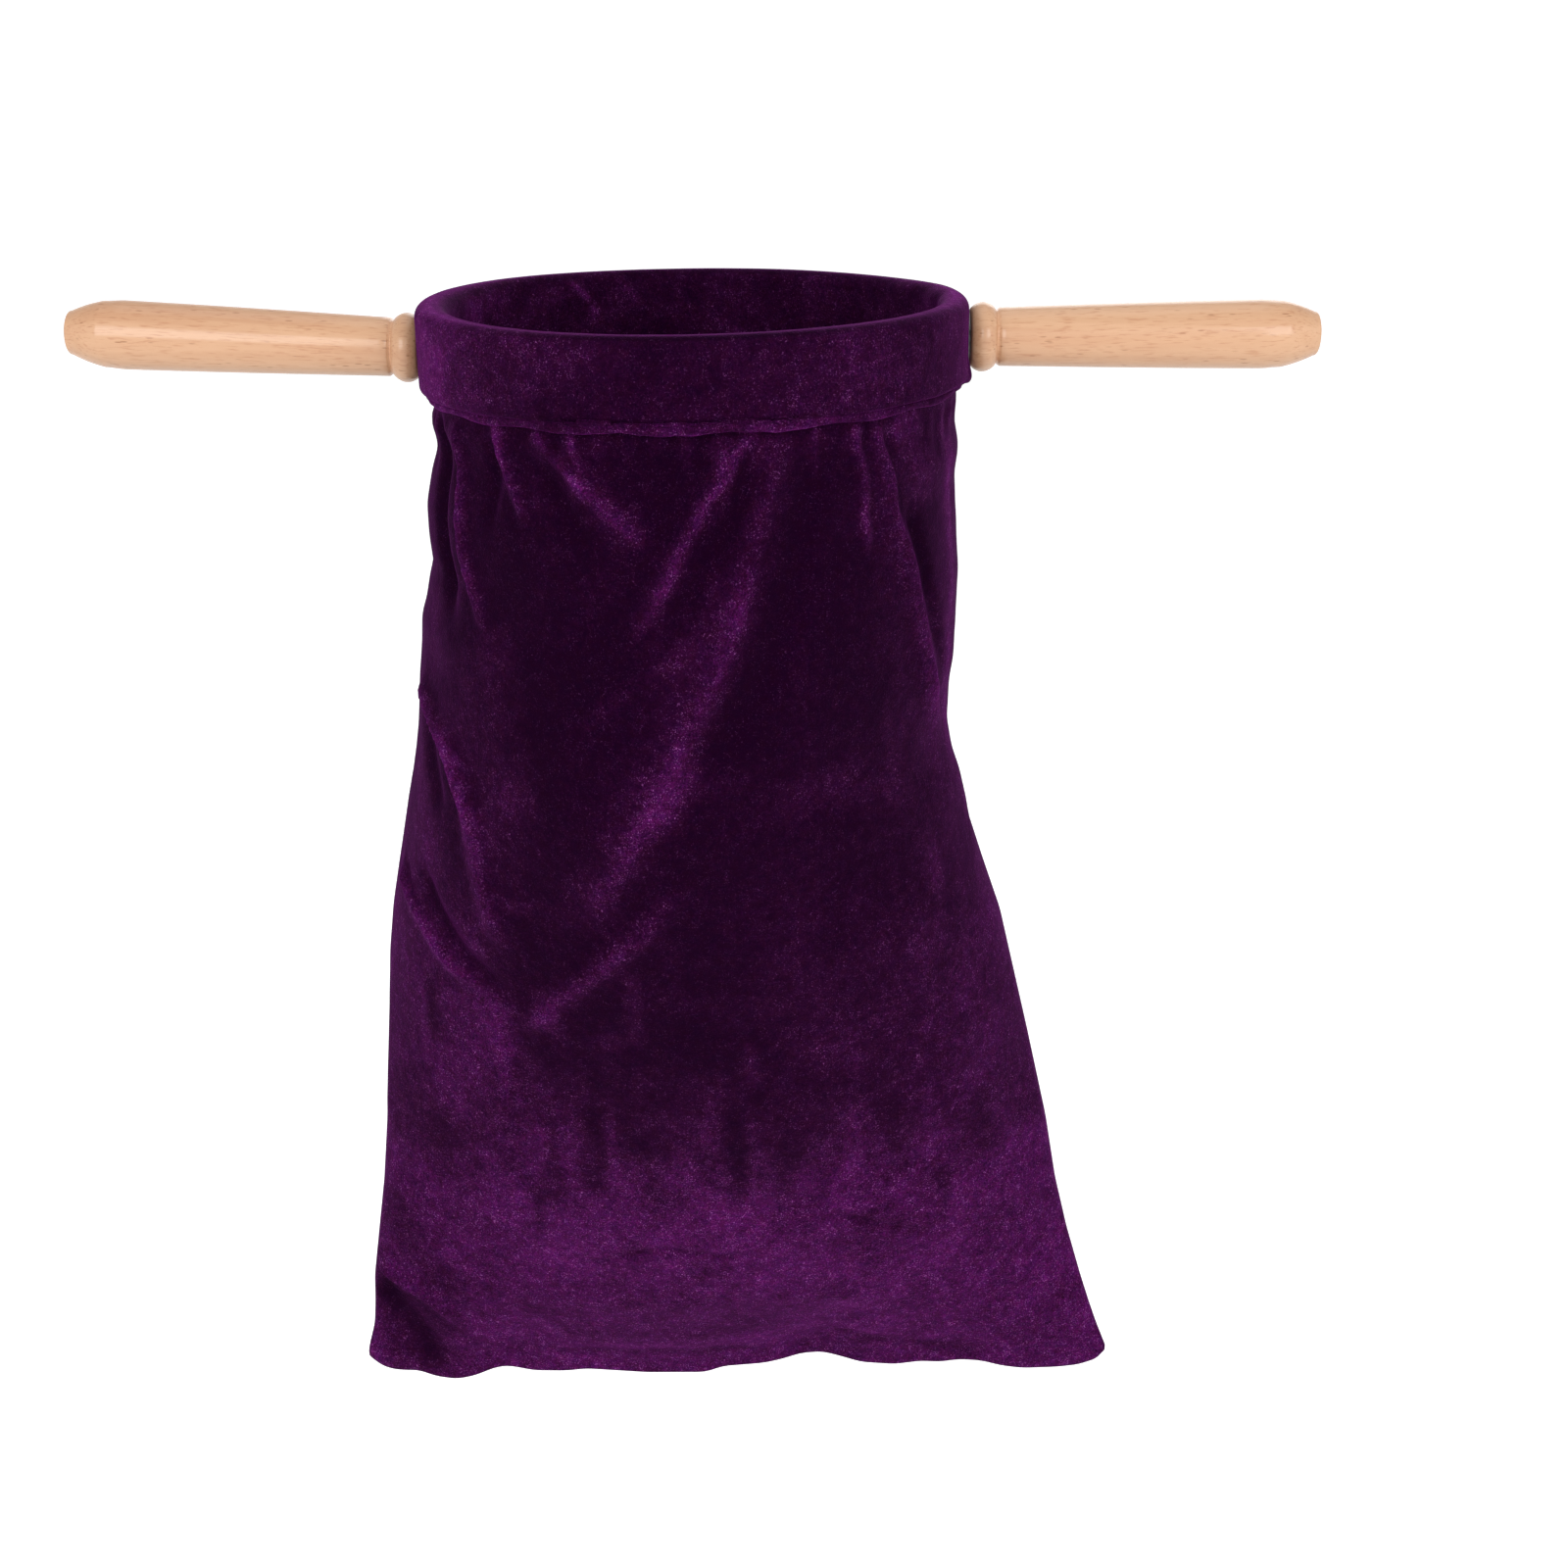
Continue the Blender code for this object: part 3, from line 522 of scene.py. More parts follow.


# The front panel's folds as the picture shows them, from the neck down. Each row has the fold's
# line, height, half width, painted light (a highlight where positive and shade where negative)
# and, where it leans, its lean.
FRONT_FOLDS = tuple(Fold(*row) for row in (
    # gathers at the left of the neck
    ([(-89, 12), (-86, 24), (-85, 36), (-84, 50), (-82, 61), (-77, 70)], -3.0, 3.4, -0.12),
    ([(-75, 10), (-73, 24), (-71, 37), (-70, 50), (-68, 58), (-64, 65), (-59, 70)],
     2.2, 1.7, 0.38, -0.4),
    ([(-58, 14), (-57, 21), (-57, 28), (-58, 42)], -1.4, 2.6, -0.08),
    ([(-60, 9), (-54, 17), (-53, 22), (-51, 27), (-48, 31), (-43, 38)], 1.6, 1.5, 0.34, -0.2),
    ([(-45, 17), (-40, 24), (-33, 32), (-24, 43)], -1.6, 2.6, -0.08),
    # the fold that runs in from the left, two strands that join
    ([(-44, 10), (-40, 15), (-35, 20), (-29, 25), (-24, 29)], 1.5, 1.6, 0.27),
    ([(-34, 9), (-31, 14), (-29, 19), (-27, 25)], 1.2, 1.3, 0.26),
    ([(-32, 22), (-27, 27), (-21, 31), (-16, 35), (-11, 39), (-7, 42)], 2.0, 3.4, 0.30),
    # the hollow between it and the folds that run in from the right
    ([(-26, 16), (-8, 18), (10, 16)], -2.0, 6.0, -0.05),
    ([(-9, 16), (-8, 30), (-8, 44)], -1.8, 6.5, -0.05),
    # the narrow fold and the long one beside it
    ([(18, 9), (13, 17), (8, 24), (4, 29), (2, 36), (-1, 42), (-3, 47), (-7, 54), (-12, 61),
      (-15, 67)],
     2.5, 2.3, 0.38, 0.25),
    ([(20, 16), (14, 29), (9, 40), (3, 51), (-2, 60), (-8, 68)], -2.0, 2.4, -0.06),
    ([(24, 8), (22, 20), (19, 30), (18, 40), (16, 47), (13, 55), (12, 62), (11, 69), (9, 76),
      (5, 85),
      (1, 94), (-3, 104), (-6, 113), (-11, 121), (-17, 131), (-22, 140), (-29, 153)], 2.1, 3.6, 0.17),
    ([(18, 42), (12, 58), (8, 68), (5, 79), (1, 90), (-2, 101),
      (-6, 114)], 0.8, 5.6, 0.12, 0.4),
    ([(3, 98), (-1, 106), (-6, 116), (-13, 124), (-18, 132), (-25, 142),
      (-33, 153)], 0.4, 6.0, 0.19),
    ([(5, 64), (-6, 72), (-13, 77), (-19, 82), (-25, 88), (-34, 95)], 0.9, 2.6, 0.10),
    ([(32, 14), (31, 33), (29, 48), (25, 63), (22, 76), (16, 90), (8, 106)], -2.0, 4.5, -0.10),
    # small gathers at the right of the neck, and the crease that ends at the bag's edge
    ([(33, 10), (33, 28)], 0.8, 1.3, 0.14),
    ([(44, 9), (46, 20), (48, 30), (50, 38), (53, 52)], 1.2, 1.6, 0.26),
    ([(51, 10), (56, 26), (61, 38), (67, 49), (71, 61), (77, 73), (84, 87), (93, 101), (101, 114)],
     2.0, 1.9, 0.27, 0.6),
    ([(66, 36), (71, 44), (75, 53), (80, 65), (87, 77), (93, 90)], -1.9, 2.6, -0.09),
    # the swag at the left and its arm across to the right
    ([(-105, 90), (-95, 96), (-86, 101), (-78, 106), (-72, 112), (-68, 119), (-65, 129)],
     2.6, 1.6, 0.40, -0.5),
    ([(-67, 116), (-64, 130), (-61, 143), (-58, 154), (-53, 165)], 1.6, 3.6, 0.22),
    ([(-99, 99), (-92, 106), (-84, 115), (-78, 126)], -1.2, 3.0, -0.04),
    ([(-93, 144), (-84, 154), (-77, 161), (-70, 168), (-62, 173), (-53, 177)], -1.8, 3.6, -0.20),
    ([(-112, 149), (-100, 156), (-90, 161), (-82, 168), (-74, 173),
      (-64, 178)], 2.4, 1.8, 0.22, 0.4),
    ([(-61, 172), (-61, 194), (-63, 213), (-67, 238)], 0.6, 2.8, 0.04, 0.4),
    ([(-53, 190), (-46, 184), (-38, 175), (-29, 167), (-21, 160), (-13, 153), (-7, 146),
      (-2, 140), (4, 132)],
     2.4, 3.4, 0.30),
    # the turned-up corner at the left, and faint wrinkles above the hem
    ([(-120, 296), (-110, 301), (-104, 303), (-98, 307), (-91, 318)], 2.2, 1.7, 0.02, -0.5),
    ([(-121, 302), (-112, 309), (-107, 319), (-103, 331), (-100, 345)], -2.2, 6.5, -0.36),
    ([(-106, 303), (-98, 314), (-93, 327)], -0.6, 4.5, -0.16),
    ([(-44, 282), (-29, 276), (-17, 273), (1, 277), (14, 276)], -0.7, 1.4, -0.14),
    ([(34, 259), (51, 267), (70, 275)], -0.6, 1.8, -0.12),
    ([(-66, 330), (-23, 330), (14, 331)], -0.5, 2.4, -0.14),
    ([(32, 323), (58, 330), (88, 337)], -0.7, 3.0, -0.14),
    ([(28, 345), (31, 326), (40, 300)], -1.6, 7.0, -0.03),
    ([(-76, 345), (-72, 328), (-60, 312)], -1.2, 6.0, -0.03),
    ([(60, 150), (76, 200), (92, 262)], 1.4, 11.0, 0.02),
))
# Painted highlights and painted shade over the front's brushed and standing pile, without bending
# the cloth. Each row has its line, half width and painted light.
FRONT_BRUSHED_AND_PAINTED = tuple(Fold(line, 0, width, nap) for line, width, nap in (
    ([(-97, 60), (-91, 74), (-86, 90)], 7.0, 0.16),
    ([(-60, 62), (-58, 78), (-56, 94), (-54, 110), (-52, 130), (-50, 152)], 9.0, 0.13),
    ([(-72, 72), (-74, 90), (-70, 108), (-66, 124), (-64, 144)], 9.0, 0.12),
    ([(-106, 100), (-98, 116), (-88, 132), (-80, 148)], 9.0, 0.20),
    ([(-62, 176), (-57, 198), (-52, 214), (-47, 228), (-42, 244)], 8.0, 0.22),
    # painted shade in the hollow left of the long fold, where the pile stands straight up
    ([(-46, 40), (-36, 56), (-24, 72), (-14, 84)], 15.0, -0.05),
    # painted shade over the lower left corner, darker than the cloth beside it
    ([(-118, 262), (-106, 280), (-96, 294), (-90, 312)], 9.0, -0.16),
    ([(-87, 178), (-87, 201)], 2.6, -0.18),
    ([(-47, 172), (-42, 184), (-40, 198)], 4.5, 0.14),
    ([(-32, 200), (-26, 222), (-20, 244)], 9.0, -0.11),
    ([(-59, 222), (-57, 244)], 3.5, 0.10),
    ([(-53, 113), (-37, 113)], 4.5, 0.15),
    ([(6, 26), (7, 38)], 3.5, 0.10),
    ([(5, 96), (1, 108), (-4, 122)], 3.5, 0.13),
    ([(-8, 98), (-14, 110), (-20, 124)], 4.0, 0.11),
    ([(-54, 147), (-42, 147)], 2.5, 0.18),
    ([(-15, 162), (-18, 194)], 3.2, 0.14),
    ([(-33, 190), (-19, 190)], 3.5, 0.12),
    ([(38, 16), (38, 44), (37, 65), (36, 92)], 7.0, -0.05),
    ([(48, 26), (58, 50), (66, 72), (78, 98), (88, 116)], 8.0, 0.06),
    ([(58, 10), (68, 26), (80, 42)], 8.0, 0.20),
    ([(84, 12), (94, 34), (97, 56), (99, 75), (100, 95), (106, 112), (111, 128),
      (118, 146)], 5.5, 0.38),
    ([(62, 90), (74, 112), (84, 134), (92, 160)], 12.0, 0.08),
    ([(82, 60), (85, 72), (87, 86), (89, 98), (92, 112), (97, 126), (104, 144)], 6.5, 0.22),
    ([(28, 112), (50, 113), (70, 117), (86, 116)], 6.0, 0.12),
    ([(30, 200), (48, 190), (66, 196)], 8.0, 0.08),
    # painted tongues of shade and of highlight along the lower edge of the dark field
    ([(-56, 248), (-56, 272)], 2.6, -0.16),
    ([(-47, 213), (-50, 250)], 2.2, -0.14),
    ([(-55, 198), (-51, 228)], 3.0, -0.13),
    ([(-35, 212), (-35, 254)], 3.4, -0.13),
    ([(-28, 206), (-31, 246)], 1.8, 0.12),
    ([(-14, 204), (-11, 234)], 5.0, -0.06),
    ([(6, 200), (-3, 232)], 2.4, 0.08),
    ([(9, 212), (6, 262)], 3.0, -0.16),
    ([(15, 188), (15, 209)], 2.0, 0.18),
    ([(23, 222), (22, 262)], 5.0, -0.08),
    ([(46, 188), (45, 214)], 2.4, 0.07),
    ([(45, 210), (41, 252)], 3.4, 0.08),
    ([(55, 214), (53, 250)], 4.0, -0.12),
    ([(72, 246), (70, 274)], 3.0, -0.12),
    ([(88, 222), (87, 252)], 3.0, -0.10),
    ([(70, 212), (69, 252)], 5.0, 0.12),
    # painted shade in strokes low on the front
    ([(80, 266), (96, 300)], 8.0, -0.09),
    ([(-87, 222), (-80, 282)], 10.0, -0.13),
    ([(-62, 322), (-16, 322), (26, 316)], 8.0, -0.09),
    ([(-104, 304), (-50, 300), (0, 306), (52, 302)], 9.0, -0.08),
    ([(-122, 284), (-116, 300), (-116, 324), (-113, 350)], 5.5, -0.14),
))
# The back is not in the picture: it hangs from the same gathers in folds of its own
BACK_FOLDS = tuple(Fold(*row) for row in (
    ([(-74, 12), (-66, 40), (-60, 70), (-44, 104)], 2.8, 5.0, 0.24),
    ([(-64, 12), (-55, 38), (-46, 66)], -2.0, 4.5, -0.10),
    ([(-50, 12), (-40, 34), (-26, 58), (-4, 84)], 3.0, 5.0, 0.28),
    ([(-22, 12), (-18, 36), (-20, 60)], -2.8, 7.0, -0.14),
    ([(2, 12), (-2, 34), (-8, 56)], 2.0, 4.0, 0.18),
    ([(28, 12), (20, 40), (10, 76), (-2, 112), (-22, 150)], 3.4, 6.0, 0.30),
    ([(40, 12), (36, 44), (28, 80)], -2.4, 6.0, -0.12),
    ([(56, 12), (58, 34), (66, 60)], 2.2, 4.2, 0.20),
    ([(74, 12), (78, 44), (88, 84), (104, 112)], 2.6, 5.0, 0.22),
    ([(108, 150), (90, 172), (66, 186), (36, 190), (10, 180), (-16, 160)], 3.0, 8.0, 0.24),
    ([(96, 146), (74, 164), (44, 172)], -2.4, 9.0, -0.12),
    ([(-108, 190), (-80, 216), (-46, 226)], 2.0, 8.0, 0.16),
    ([(-40, 14), (-44, 80), (-40, 140), (-34, 190)], -2.0, 14.0, -0.12),
    ([(60, 250), (20, 272), (-30, 268)], 1.5, 9.0, 0.10),
    ([(-26, 345), (-30, 324), (-42, 300)], -2.0, 7.0, -0.06),
    ([(70, 346), (66, 326), (54, 306)], -1.6, 6.0, -0.06),
))


def panel_places():
    """Every point's depth and turn round the bag, closer together at the neck and the hem."""
    share = np.linspace(0, 1, PANEL_ROWS)
    share = share - ROW_CROWDING * np.sin(2 * math.pi * share)
    top = BAG_TOP / MM + TOP_TUCK
    level = top + (HEM_DEPTH / MM - top) * share
    turn = np.radians(np.linspace(-90, 90, PANEL_COLUMNS))
    return np.meshgrid(level, turn, indexing="ij")


def panel_base(level, turn, facing):
    """The unfolded outer face, rounded in where the seams close it. Millimetres."""
    hem = through(HEM_LINE, HEM_HALF * np.sin(turn) + HEM_MIDDLE) - HEM_DEPTH / MM - HEM_ROUND
    down = level + hem * smooth(BENDS_FROM, BAG_FOOT, level) ** 2
    left, right = through(LEFT_EDGE, down), through(RIGHT_EDGE, down)
    middle, half = (left + right) / 2, (right - left) / 2
    out = through(STANDING_OUT, level) - SEAM_ROUND
    sharp = 1 + SHARPENED * np.clip((down - SHARPENS_FROM) / SHARPENS_OVER, 0, 1)
    neck = 1 - smooth(NECK_TOP, NECK_FOOT, down)
    neck_radius = HOOP_MIDDLE / MM + NECK_FULLNESS
    half = half * (1 - neck) + neck_radius * neck
    out = out * (1 - neck) + (neck_radius - SEAM_ROUND) * neck
    x = middle * (1 - neck) + half * np.sin(turn)
    inset = np.clip(half * (1 - np.abs(np.sin(turn))) / SEAM_ROUND, 0, 1)
    lip = SEAM_ROUND * np.sqrt(1 - (1 - inset) ** 2)
    y = -(lip + out * np.maximum(np.cos(turn), 0) ** sharp)
    return np.stack([x, y * facing, -down], -1)


def surface_normals(points):
    """Unit normals of a grid of points, from the differences along its rows and columns."""
    across = np.gradient(points, axis=1)
    down = np.gradient(points, axis=0)
    normal = np.cross(down, across)
    return normal / np.maximum(np.linalg.norm(normal, axis=-1, keepdims=True), 1e-9)


def folded(across, down, folds):
    """How far the folds stand out at each point, and how much painted highlight and shade they lay on
    the colour.
    """
    relief, nap = np.zeros(across.shape), np.zeros(across.shape)
    for fold in folds:
        weight = fold.over(across, down)
        relief += fold.height * weight
        nap += fold.nap * weight
    return relief, nap


def neck_puckers(across, down, seed):
    """The fine pleats of the gathered neck, which die out at uneven depths."""
    wander = 2.6 * np.sin(across / 13.0 + seed)
    fullness = 0.6 + 0.4 * np.sin(across / 7.0 + seed)
    pleats = np.sin(across / 1.5 + wander) * fullness
    dies_out = 30 + 8 * np.sin(across / 9.0)
    return pleats * smooth(11.5, 14, down) * (1 - smooth(15, dies_out, down))


def brushed_and_painted_sheen(across, down, metres, seed):
    """Painted sheen low down, and at the sides from higher up, over pile brushed there, with ragged
    edges between.
    """
    lumps = 9 * fuzz(metres, 0.022, seed + 6, 1.5) + 12 * fuzz(metres, 0.006, seed + 7, 4.0)
    ragged = down + lumps + 6 * fuzz(metres, 0.003, seed + 8, 4.0)
    low_down = 0.18 * smooth(182, 230, ragged) + 0.22 * smooth(224, 258, ragged)
    at_left = 0.27 * smooth(-48, -68, across) * smooth(112, 172, ragged)
    at_right = 0.13 * smooth(8, 40, across) + 0.14 * smooth(62, 98, across)
    at_right = at_right * smooth(128, 176, ragged)
    return np.maximum(np.maximum(low_down, at_left), at_right)


def make_bag_panel(name, node, facing, folds, seed, velvet):
    """One face of the bag: gathered at the neck, folded, and turned in at its seams and hem."""
    level, turn = panel_places()
    points = panel_base(level, turn, facing)
    down = -points[..., 2]
    steps = np.linalg.norm(np.diff(points[..., :2], axis=1), axis=-1)
    across = np.concatenate([np.zeros((len(level), 1)), np.cumsum(steps, axis=1)], axis=1)
    across = across - across[:, [PANEL_COLUMNS // 2]]
    from_seam = np.minimum(across - across[:, :1], across[:, -1:] - across)
    metres = points * MM

    # how far the cloth stands out: folds, puckers, and slack in lumps 45, 16 and 6 mm wide
    relief, nap = folded(across, down, folds)
    puckers = neck_puckers(across, down, seed)
    relief += 0.5 * puckers
    relief += 1.2 * fuzz(metres, 0.045, seed) * smooth(20, 80, down)
    relief += 0.4 * fuzz(metres, 0.016, seed + 3)
    relief += 0.12 * fuzz(metres, 0.006, seed + 4)
    # the seams, the neck and the hem hold it back
    brighter_inside_left = smooth(0, 9, from_seam) * smooth(12.6, 17, down) * (1 - 0.75 * smooth(325, BAG_FOOT, level))

    # painted light on the colour over the pile: more at the neck, painted highlights on the pleats'
    # ridges with painted shade in their troughs, painted sheen low down, and painted sheen along
    # the seams where the cloth turns away
    nap += 0.08 * (1 - smooth(14, 24, down))
    nap += 0.10 * puckers + 0.05 * fuzz(metres, 0.03, seed + 5) + 0.05 * fuzz(metres, 0.011, seed + 9)
    nap += brushed_and_painted_sheen(across, down, metres, seed)
    nap += 0.05 * (1 - smooth(0, 8, from_seam))
    nap += WORN_OVER

    points = points + surface_normals(points) * facing * (relief * brighter_inside_left)[..., None]
    points, nap = hemmed(points, nap, facing)
    if facing < 0:
        points, nap = points[:, ::-1], nap[:, ::-1]
    panel = grid_object(name, points * MM, velvet, values=nap)
    thicken(panel)
    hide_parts(node)
    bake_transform(panel)


def hemmed(points, nap, facing):
    """The panel with its hem rounded over to the seam that joins front and back."""
    last = points[-1]
    rows = [points]
    for share in shares(HEM_STEPS)[1:]:
        turn = share * math.pi / 2
        row = last.copy()
        row[:, 1] = -facing * np.abs(last[:, 1]) * math.cos(turn)
        row[:, 2] = last[:, 2] - HEM_ROUND * math.sin(turn)
        rows.append(row[None])
    hem_nap = np.repeat(nap[-1:], HEM_STEPS, axis=0)
    return np.concatenate(rows, axis=0), np.concatenate([nap, hem_nap], axis=0)


# The sleeve round the hoop

# Bearings are in degrees: 0 at the right handle, 180 at the left and -90 in front. Heights are
# in millimetres over the hoop's centre.
SLEEVE_FACETS = 320
SLEEVE_SEAM = -9
SLEEVE_PITCH = 0.5
ARC_STEPS = 8


def rounded_run(corners, rounds, pitch):
    """Points a pitch apart along a line of corners, each inner corner an arc."""
    points = [Vector(corners[0])]
    for before, corner, after, radius in zip(corners, corners[1:], corners[2:], rounds):
        corner = Vector(corner)
        back = (Vector(before) - corner).normalized()
        on = (Vector(after) - corner).normalized()
        half = back.angle(on) / 2
        centre = corner + (back + on).normalized() * radius / math.sin(half)
        start = corner + back * radius / math.tan(half) - centre
        end = corner + on * radius / math.tan(half) - centre
        sweep = start.angle_signed(end)
        for share in shares(ARC_STEPS):
            points.append(centre + Matrix.Rotation(-sweep * share, 2) @ start)
    points.append(Vector(corners[-1]))
    line = np.array([tuple(p) for p in points])
    length = distances(line)[-1]
    return sampled(line, np.linspace(0, length, int(length / pitch) + 1))


def sleeve_profile():
    """The strip's section: up from the outer lip, over the hoop, and down to the inner lip.
    Radius and height in millimetres, and the height of its top."""
    wrap = (WRAP_GAP + VELVET) / MM
    leg = HOOP_WALL / MM / 2 + wrap
    top = HOOP_TOP / MM + wrap
    foot = -LIP_BOTTOM / MM
    # each corner is (out from the hoop's middle, height), and each inner one has its round
    outer = [(0.9, -11.9), (1.5, foot + 0.3), (3.0, foot + 0.2), (3.1, -11.0), (2.2, -10.6),
             (leg, -9.9)]
    over = [(leg, top), (-leg, top)]
    inner = [(-leg, -9.9), (-2.1, -10.9), (-2.1, foot)]
    rounds = (0.25, 0.8, 0.8, 0.3, 2.2, 3.2, 3.2, 2.6, 0.8)
    corners = [(HOOP_MIDDLE / MM + out, height) for out, height in outer + over + inner]
    return rounded_run(corners, rounds, SLEEVE_PITCH), top


def bearing(around, middle, width):
    """1 at a bearing round the hoop, fading over a width, both in degrees."""
    turned = np.degrees(np.angle(np.exp(1j * (around - math.radians(middle)))))
    return np.exp(-(turned / width) ** 2)


def drag_crease(around, height, foot, lean, width):
    """A crease that the gathers drag slantwise over the rim's inside, curving as it climbs."""
    curved = height + 0.05 * (height - 9) ** 2
    return np.exp(-((np.degrees(around) - foot - curved * lean) / width) ** 2)


def make_rim_sleeve(velvet):
    """A strip drawn tight over the hoop; its gathered lips make a thin roll underneath."""
    profile, top = sleeve_profile()
    turn = np.linspace(0, 2 * math.pi, SLEEVE_FACETS, endpoint=False)
    radius = np.repeat(profile[:, :1], SLEEVE_FACETS, axis=1)
    height = np.repeat(profile[:, 1:], SLEEVE_FACETS, axis=1)
    around = np.repeat(turn[None], len(profile), axis=0)
    outside = (np.arange(len(profile)) < np.argmax(profile[:, 1]))[:, None]
    sign = np.where(outside, 1.0, -1.0)

    # the lips are fuller and lower before and behind than at the handles
    in_lip = smooth(-9.8, -11.0, height)
    waves = np.sin(around * 41 + 1.7 * np.sin(around * 5)) * 0.5 + np.sin(around * 67 + 2.0) * 0.5
    full = 0.45 + 0.3 * np.sin(around * 7 + 1.2 * np.sin(around * 3)) + 0.25 * waves
    slim = 1 - np.clip(bearing(around, -90, 62) + bearing(around, 90, 62), 0, 1)
    radius = radius + in_lip * sign * (0.45 * full - 0.9 * slim)
    height = height + in_lip * 0.35 * np.sin(around * 17 + 0.8) + in_lip * outside * 0.9 * slim
    # the cloth stands up over the hoop's edge, most at the far left, and out beside that handle
    proud = 0.75 + 2.2 * bearing(around, 152, 62) + 0.4 * bearing(around, 75, 30)
    proud = proud + 0.5 * bearing(around, 12, 18)
    height = height + proud * smooth(-4, 10, height)
    radius = radius + 0.9 * bearing(around, 180, 40) * sign * outside
    # inside, the gathers drag it into creases
    inside = np.where(outside, 0.0, 1.0) * smooth(-11, -8, height) * smooth(13.5, 10, height)
    drag = np.sin(around * 19 + height * 0.26 + 2.4 * np.sin(around * 4))
    drag = drag * smooth(-0.2, 0.9, np.sin(around * 3 + 0.6))
    crease = drag_crease(around, height, 115.3, 0.9, 1.6) * smooth(-5, 3, height)
    crease = crease + 0.6 * drag_crease(around, height, 103.5, 0.75, 1.3) * smooth(-1, 5, height)
    radius = radius - inside * (0.25 + 0.35 * drag + 1.0 * crease)
    # the strip's end seam is a fine groove, with a small corner of cloth standing out under it
    groove = bearing(around, SLEEVE_SEAM, 0.7) * smooth(-9, -7, height) * smooth(11, 8, height)
    radius = radius - 0.5 * groove * outside
    corner = bearing(around, -7, 3.2) * outside * smooth(-4, -8, height) * smooth(-12, -10, height)
    radius = radius + 1.1 * corner
    height = height - 1.2 * corner
    # in front the lip is rolled outwards and up
    front = bearing(around, -92, 33)
    rolled = outside * smooth(-9.6, -10.8, height)
    radius = radius + (1.5 + 0.35 * waves) * front * rolled
    height = height + front * rolled * (0.6 + 1.1 * smooth(-12.6, -10.8, height) + 0.3 * waves)
    points = np.stack([radius * np.cos(around), radius * np.sin(around), height], -1)
    metres = points * MM
    ripple = 0.16 * fuzz(metres, 0.012, 21) + 0.14 * fuzz(metres, 0.03, 22)
    away = np.stack([np.cos(around), np.sin(around), 0 * around], -1)
    points = points + away * (ripple * sign)[..., None]

    # painted light on the sleeve: painted sheen towards both handles, where the rim turns side-on,
    # a painted highlight on the roll, brightest at its lower edge, and painted highlights on the
    # creases inside
    nap = 0.08 + 0.08 * fuzz(metres, 0.02, 23) + 0.07 * fuzz(metres, 0.007, 26)
    nap = nap + outside * (0.35 * bearing(around, 205, 28) + 0.13 * bearing(around, -54, 20)
                           + 0.28 * bearing(around, 0, 18))
    patchy = 0.5 + 0.9 * fuzz(metres, 0.014, 25)
    nap = nap + rolled * (0.12 * front + 0.06 + 0.34 * smooth(-11.6, -12.4, height) * patchy)
    # a thin line of painted shade in the crease above the roll in front
    nap = nap - 0.10 * front * outside * np.exp(-((height + 8.9) / 0.5) ** 2)
    # the crown painted darker in front, with painted highlights over the left and the right
    crown = smooth(-1.4, -0.2, height - proud - top)
    nap = nap + crown * (-0.06 - 0.14 * front + 0.26 * bearing(around, 158, 50)
                         + 0.22 * bearing(around, 2, 22))
    # a patch brighter inside at the left
    brighter_inside_left = 0.34 * bearing(around, 162, 15) * patchy * smooth(-4, 6, height)
    nap = nap + inside * (0.28 * np.clip(crease, 0, 1) + 0.06 * np.clip(drag, 0, 1) + brighter_inside_left + 0.05)

    points, nap = points[:, ::-1], nap[:, ::-1]
    sleeve = grid_object("velvet_rim_sleeve", points * MM, velvet, wrap=True, values=nap)
    thicken(sleeve)
    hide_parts("rim_sleeve")
    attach(sleeve, "hoop_frame")


# The turned handles, in millimetres

SIDES = {"left": -1, "right": 1}
HANDLE_RISE = {"left": math.radians(3.7), "right": math.radians(-0.6)}
HUB_RADIUS = 6.6
FOOT_RADIUS = 7.2
BEAD_LENGTH = 7.4
BEAD_RADIUS = 9.6
GROOVE_RADIUS = 7.4
NECK_RADIUS = 8.1
BELLY_RADIUS = 9.5
BELLY_RUN = 6
BELLY_FALL = 0.35
SHOULDER = 10.0
END_RADIUS = 6.1
END_ROUND = 1.0
SEAT_GAP = 0.3
# The radius of the end face whose edge the rise carries further out
END_CORNER = 5
HANDLE_FACETS = 128


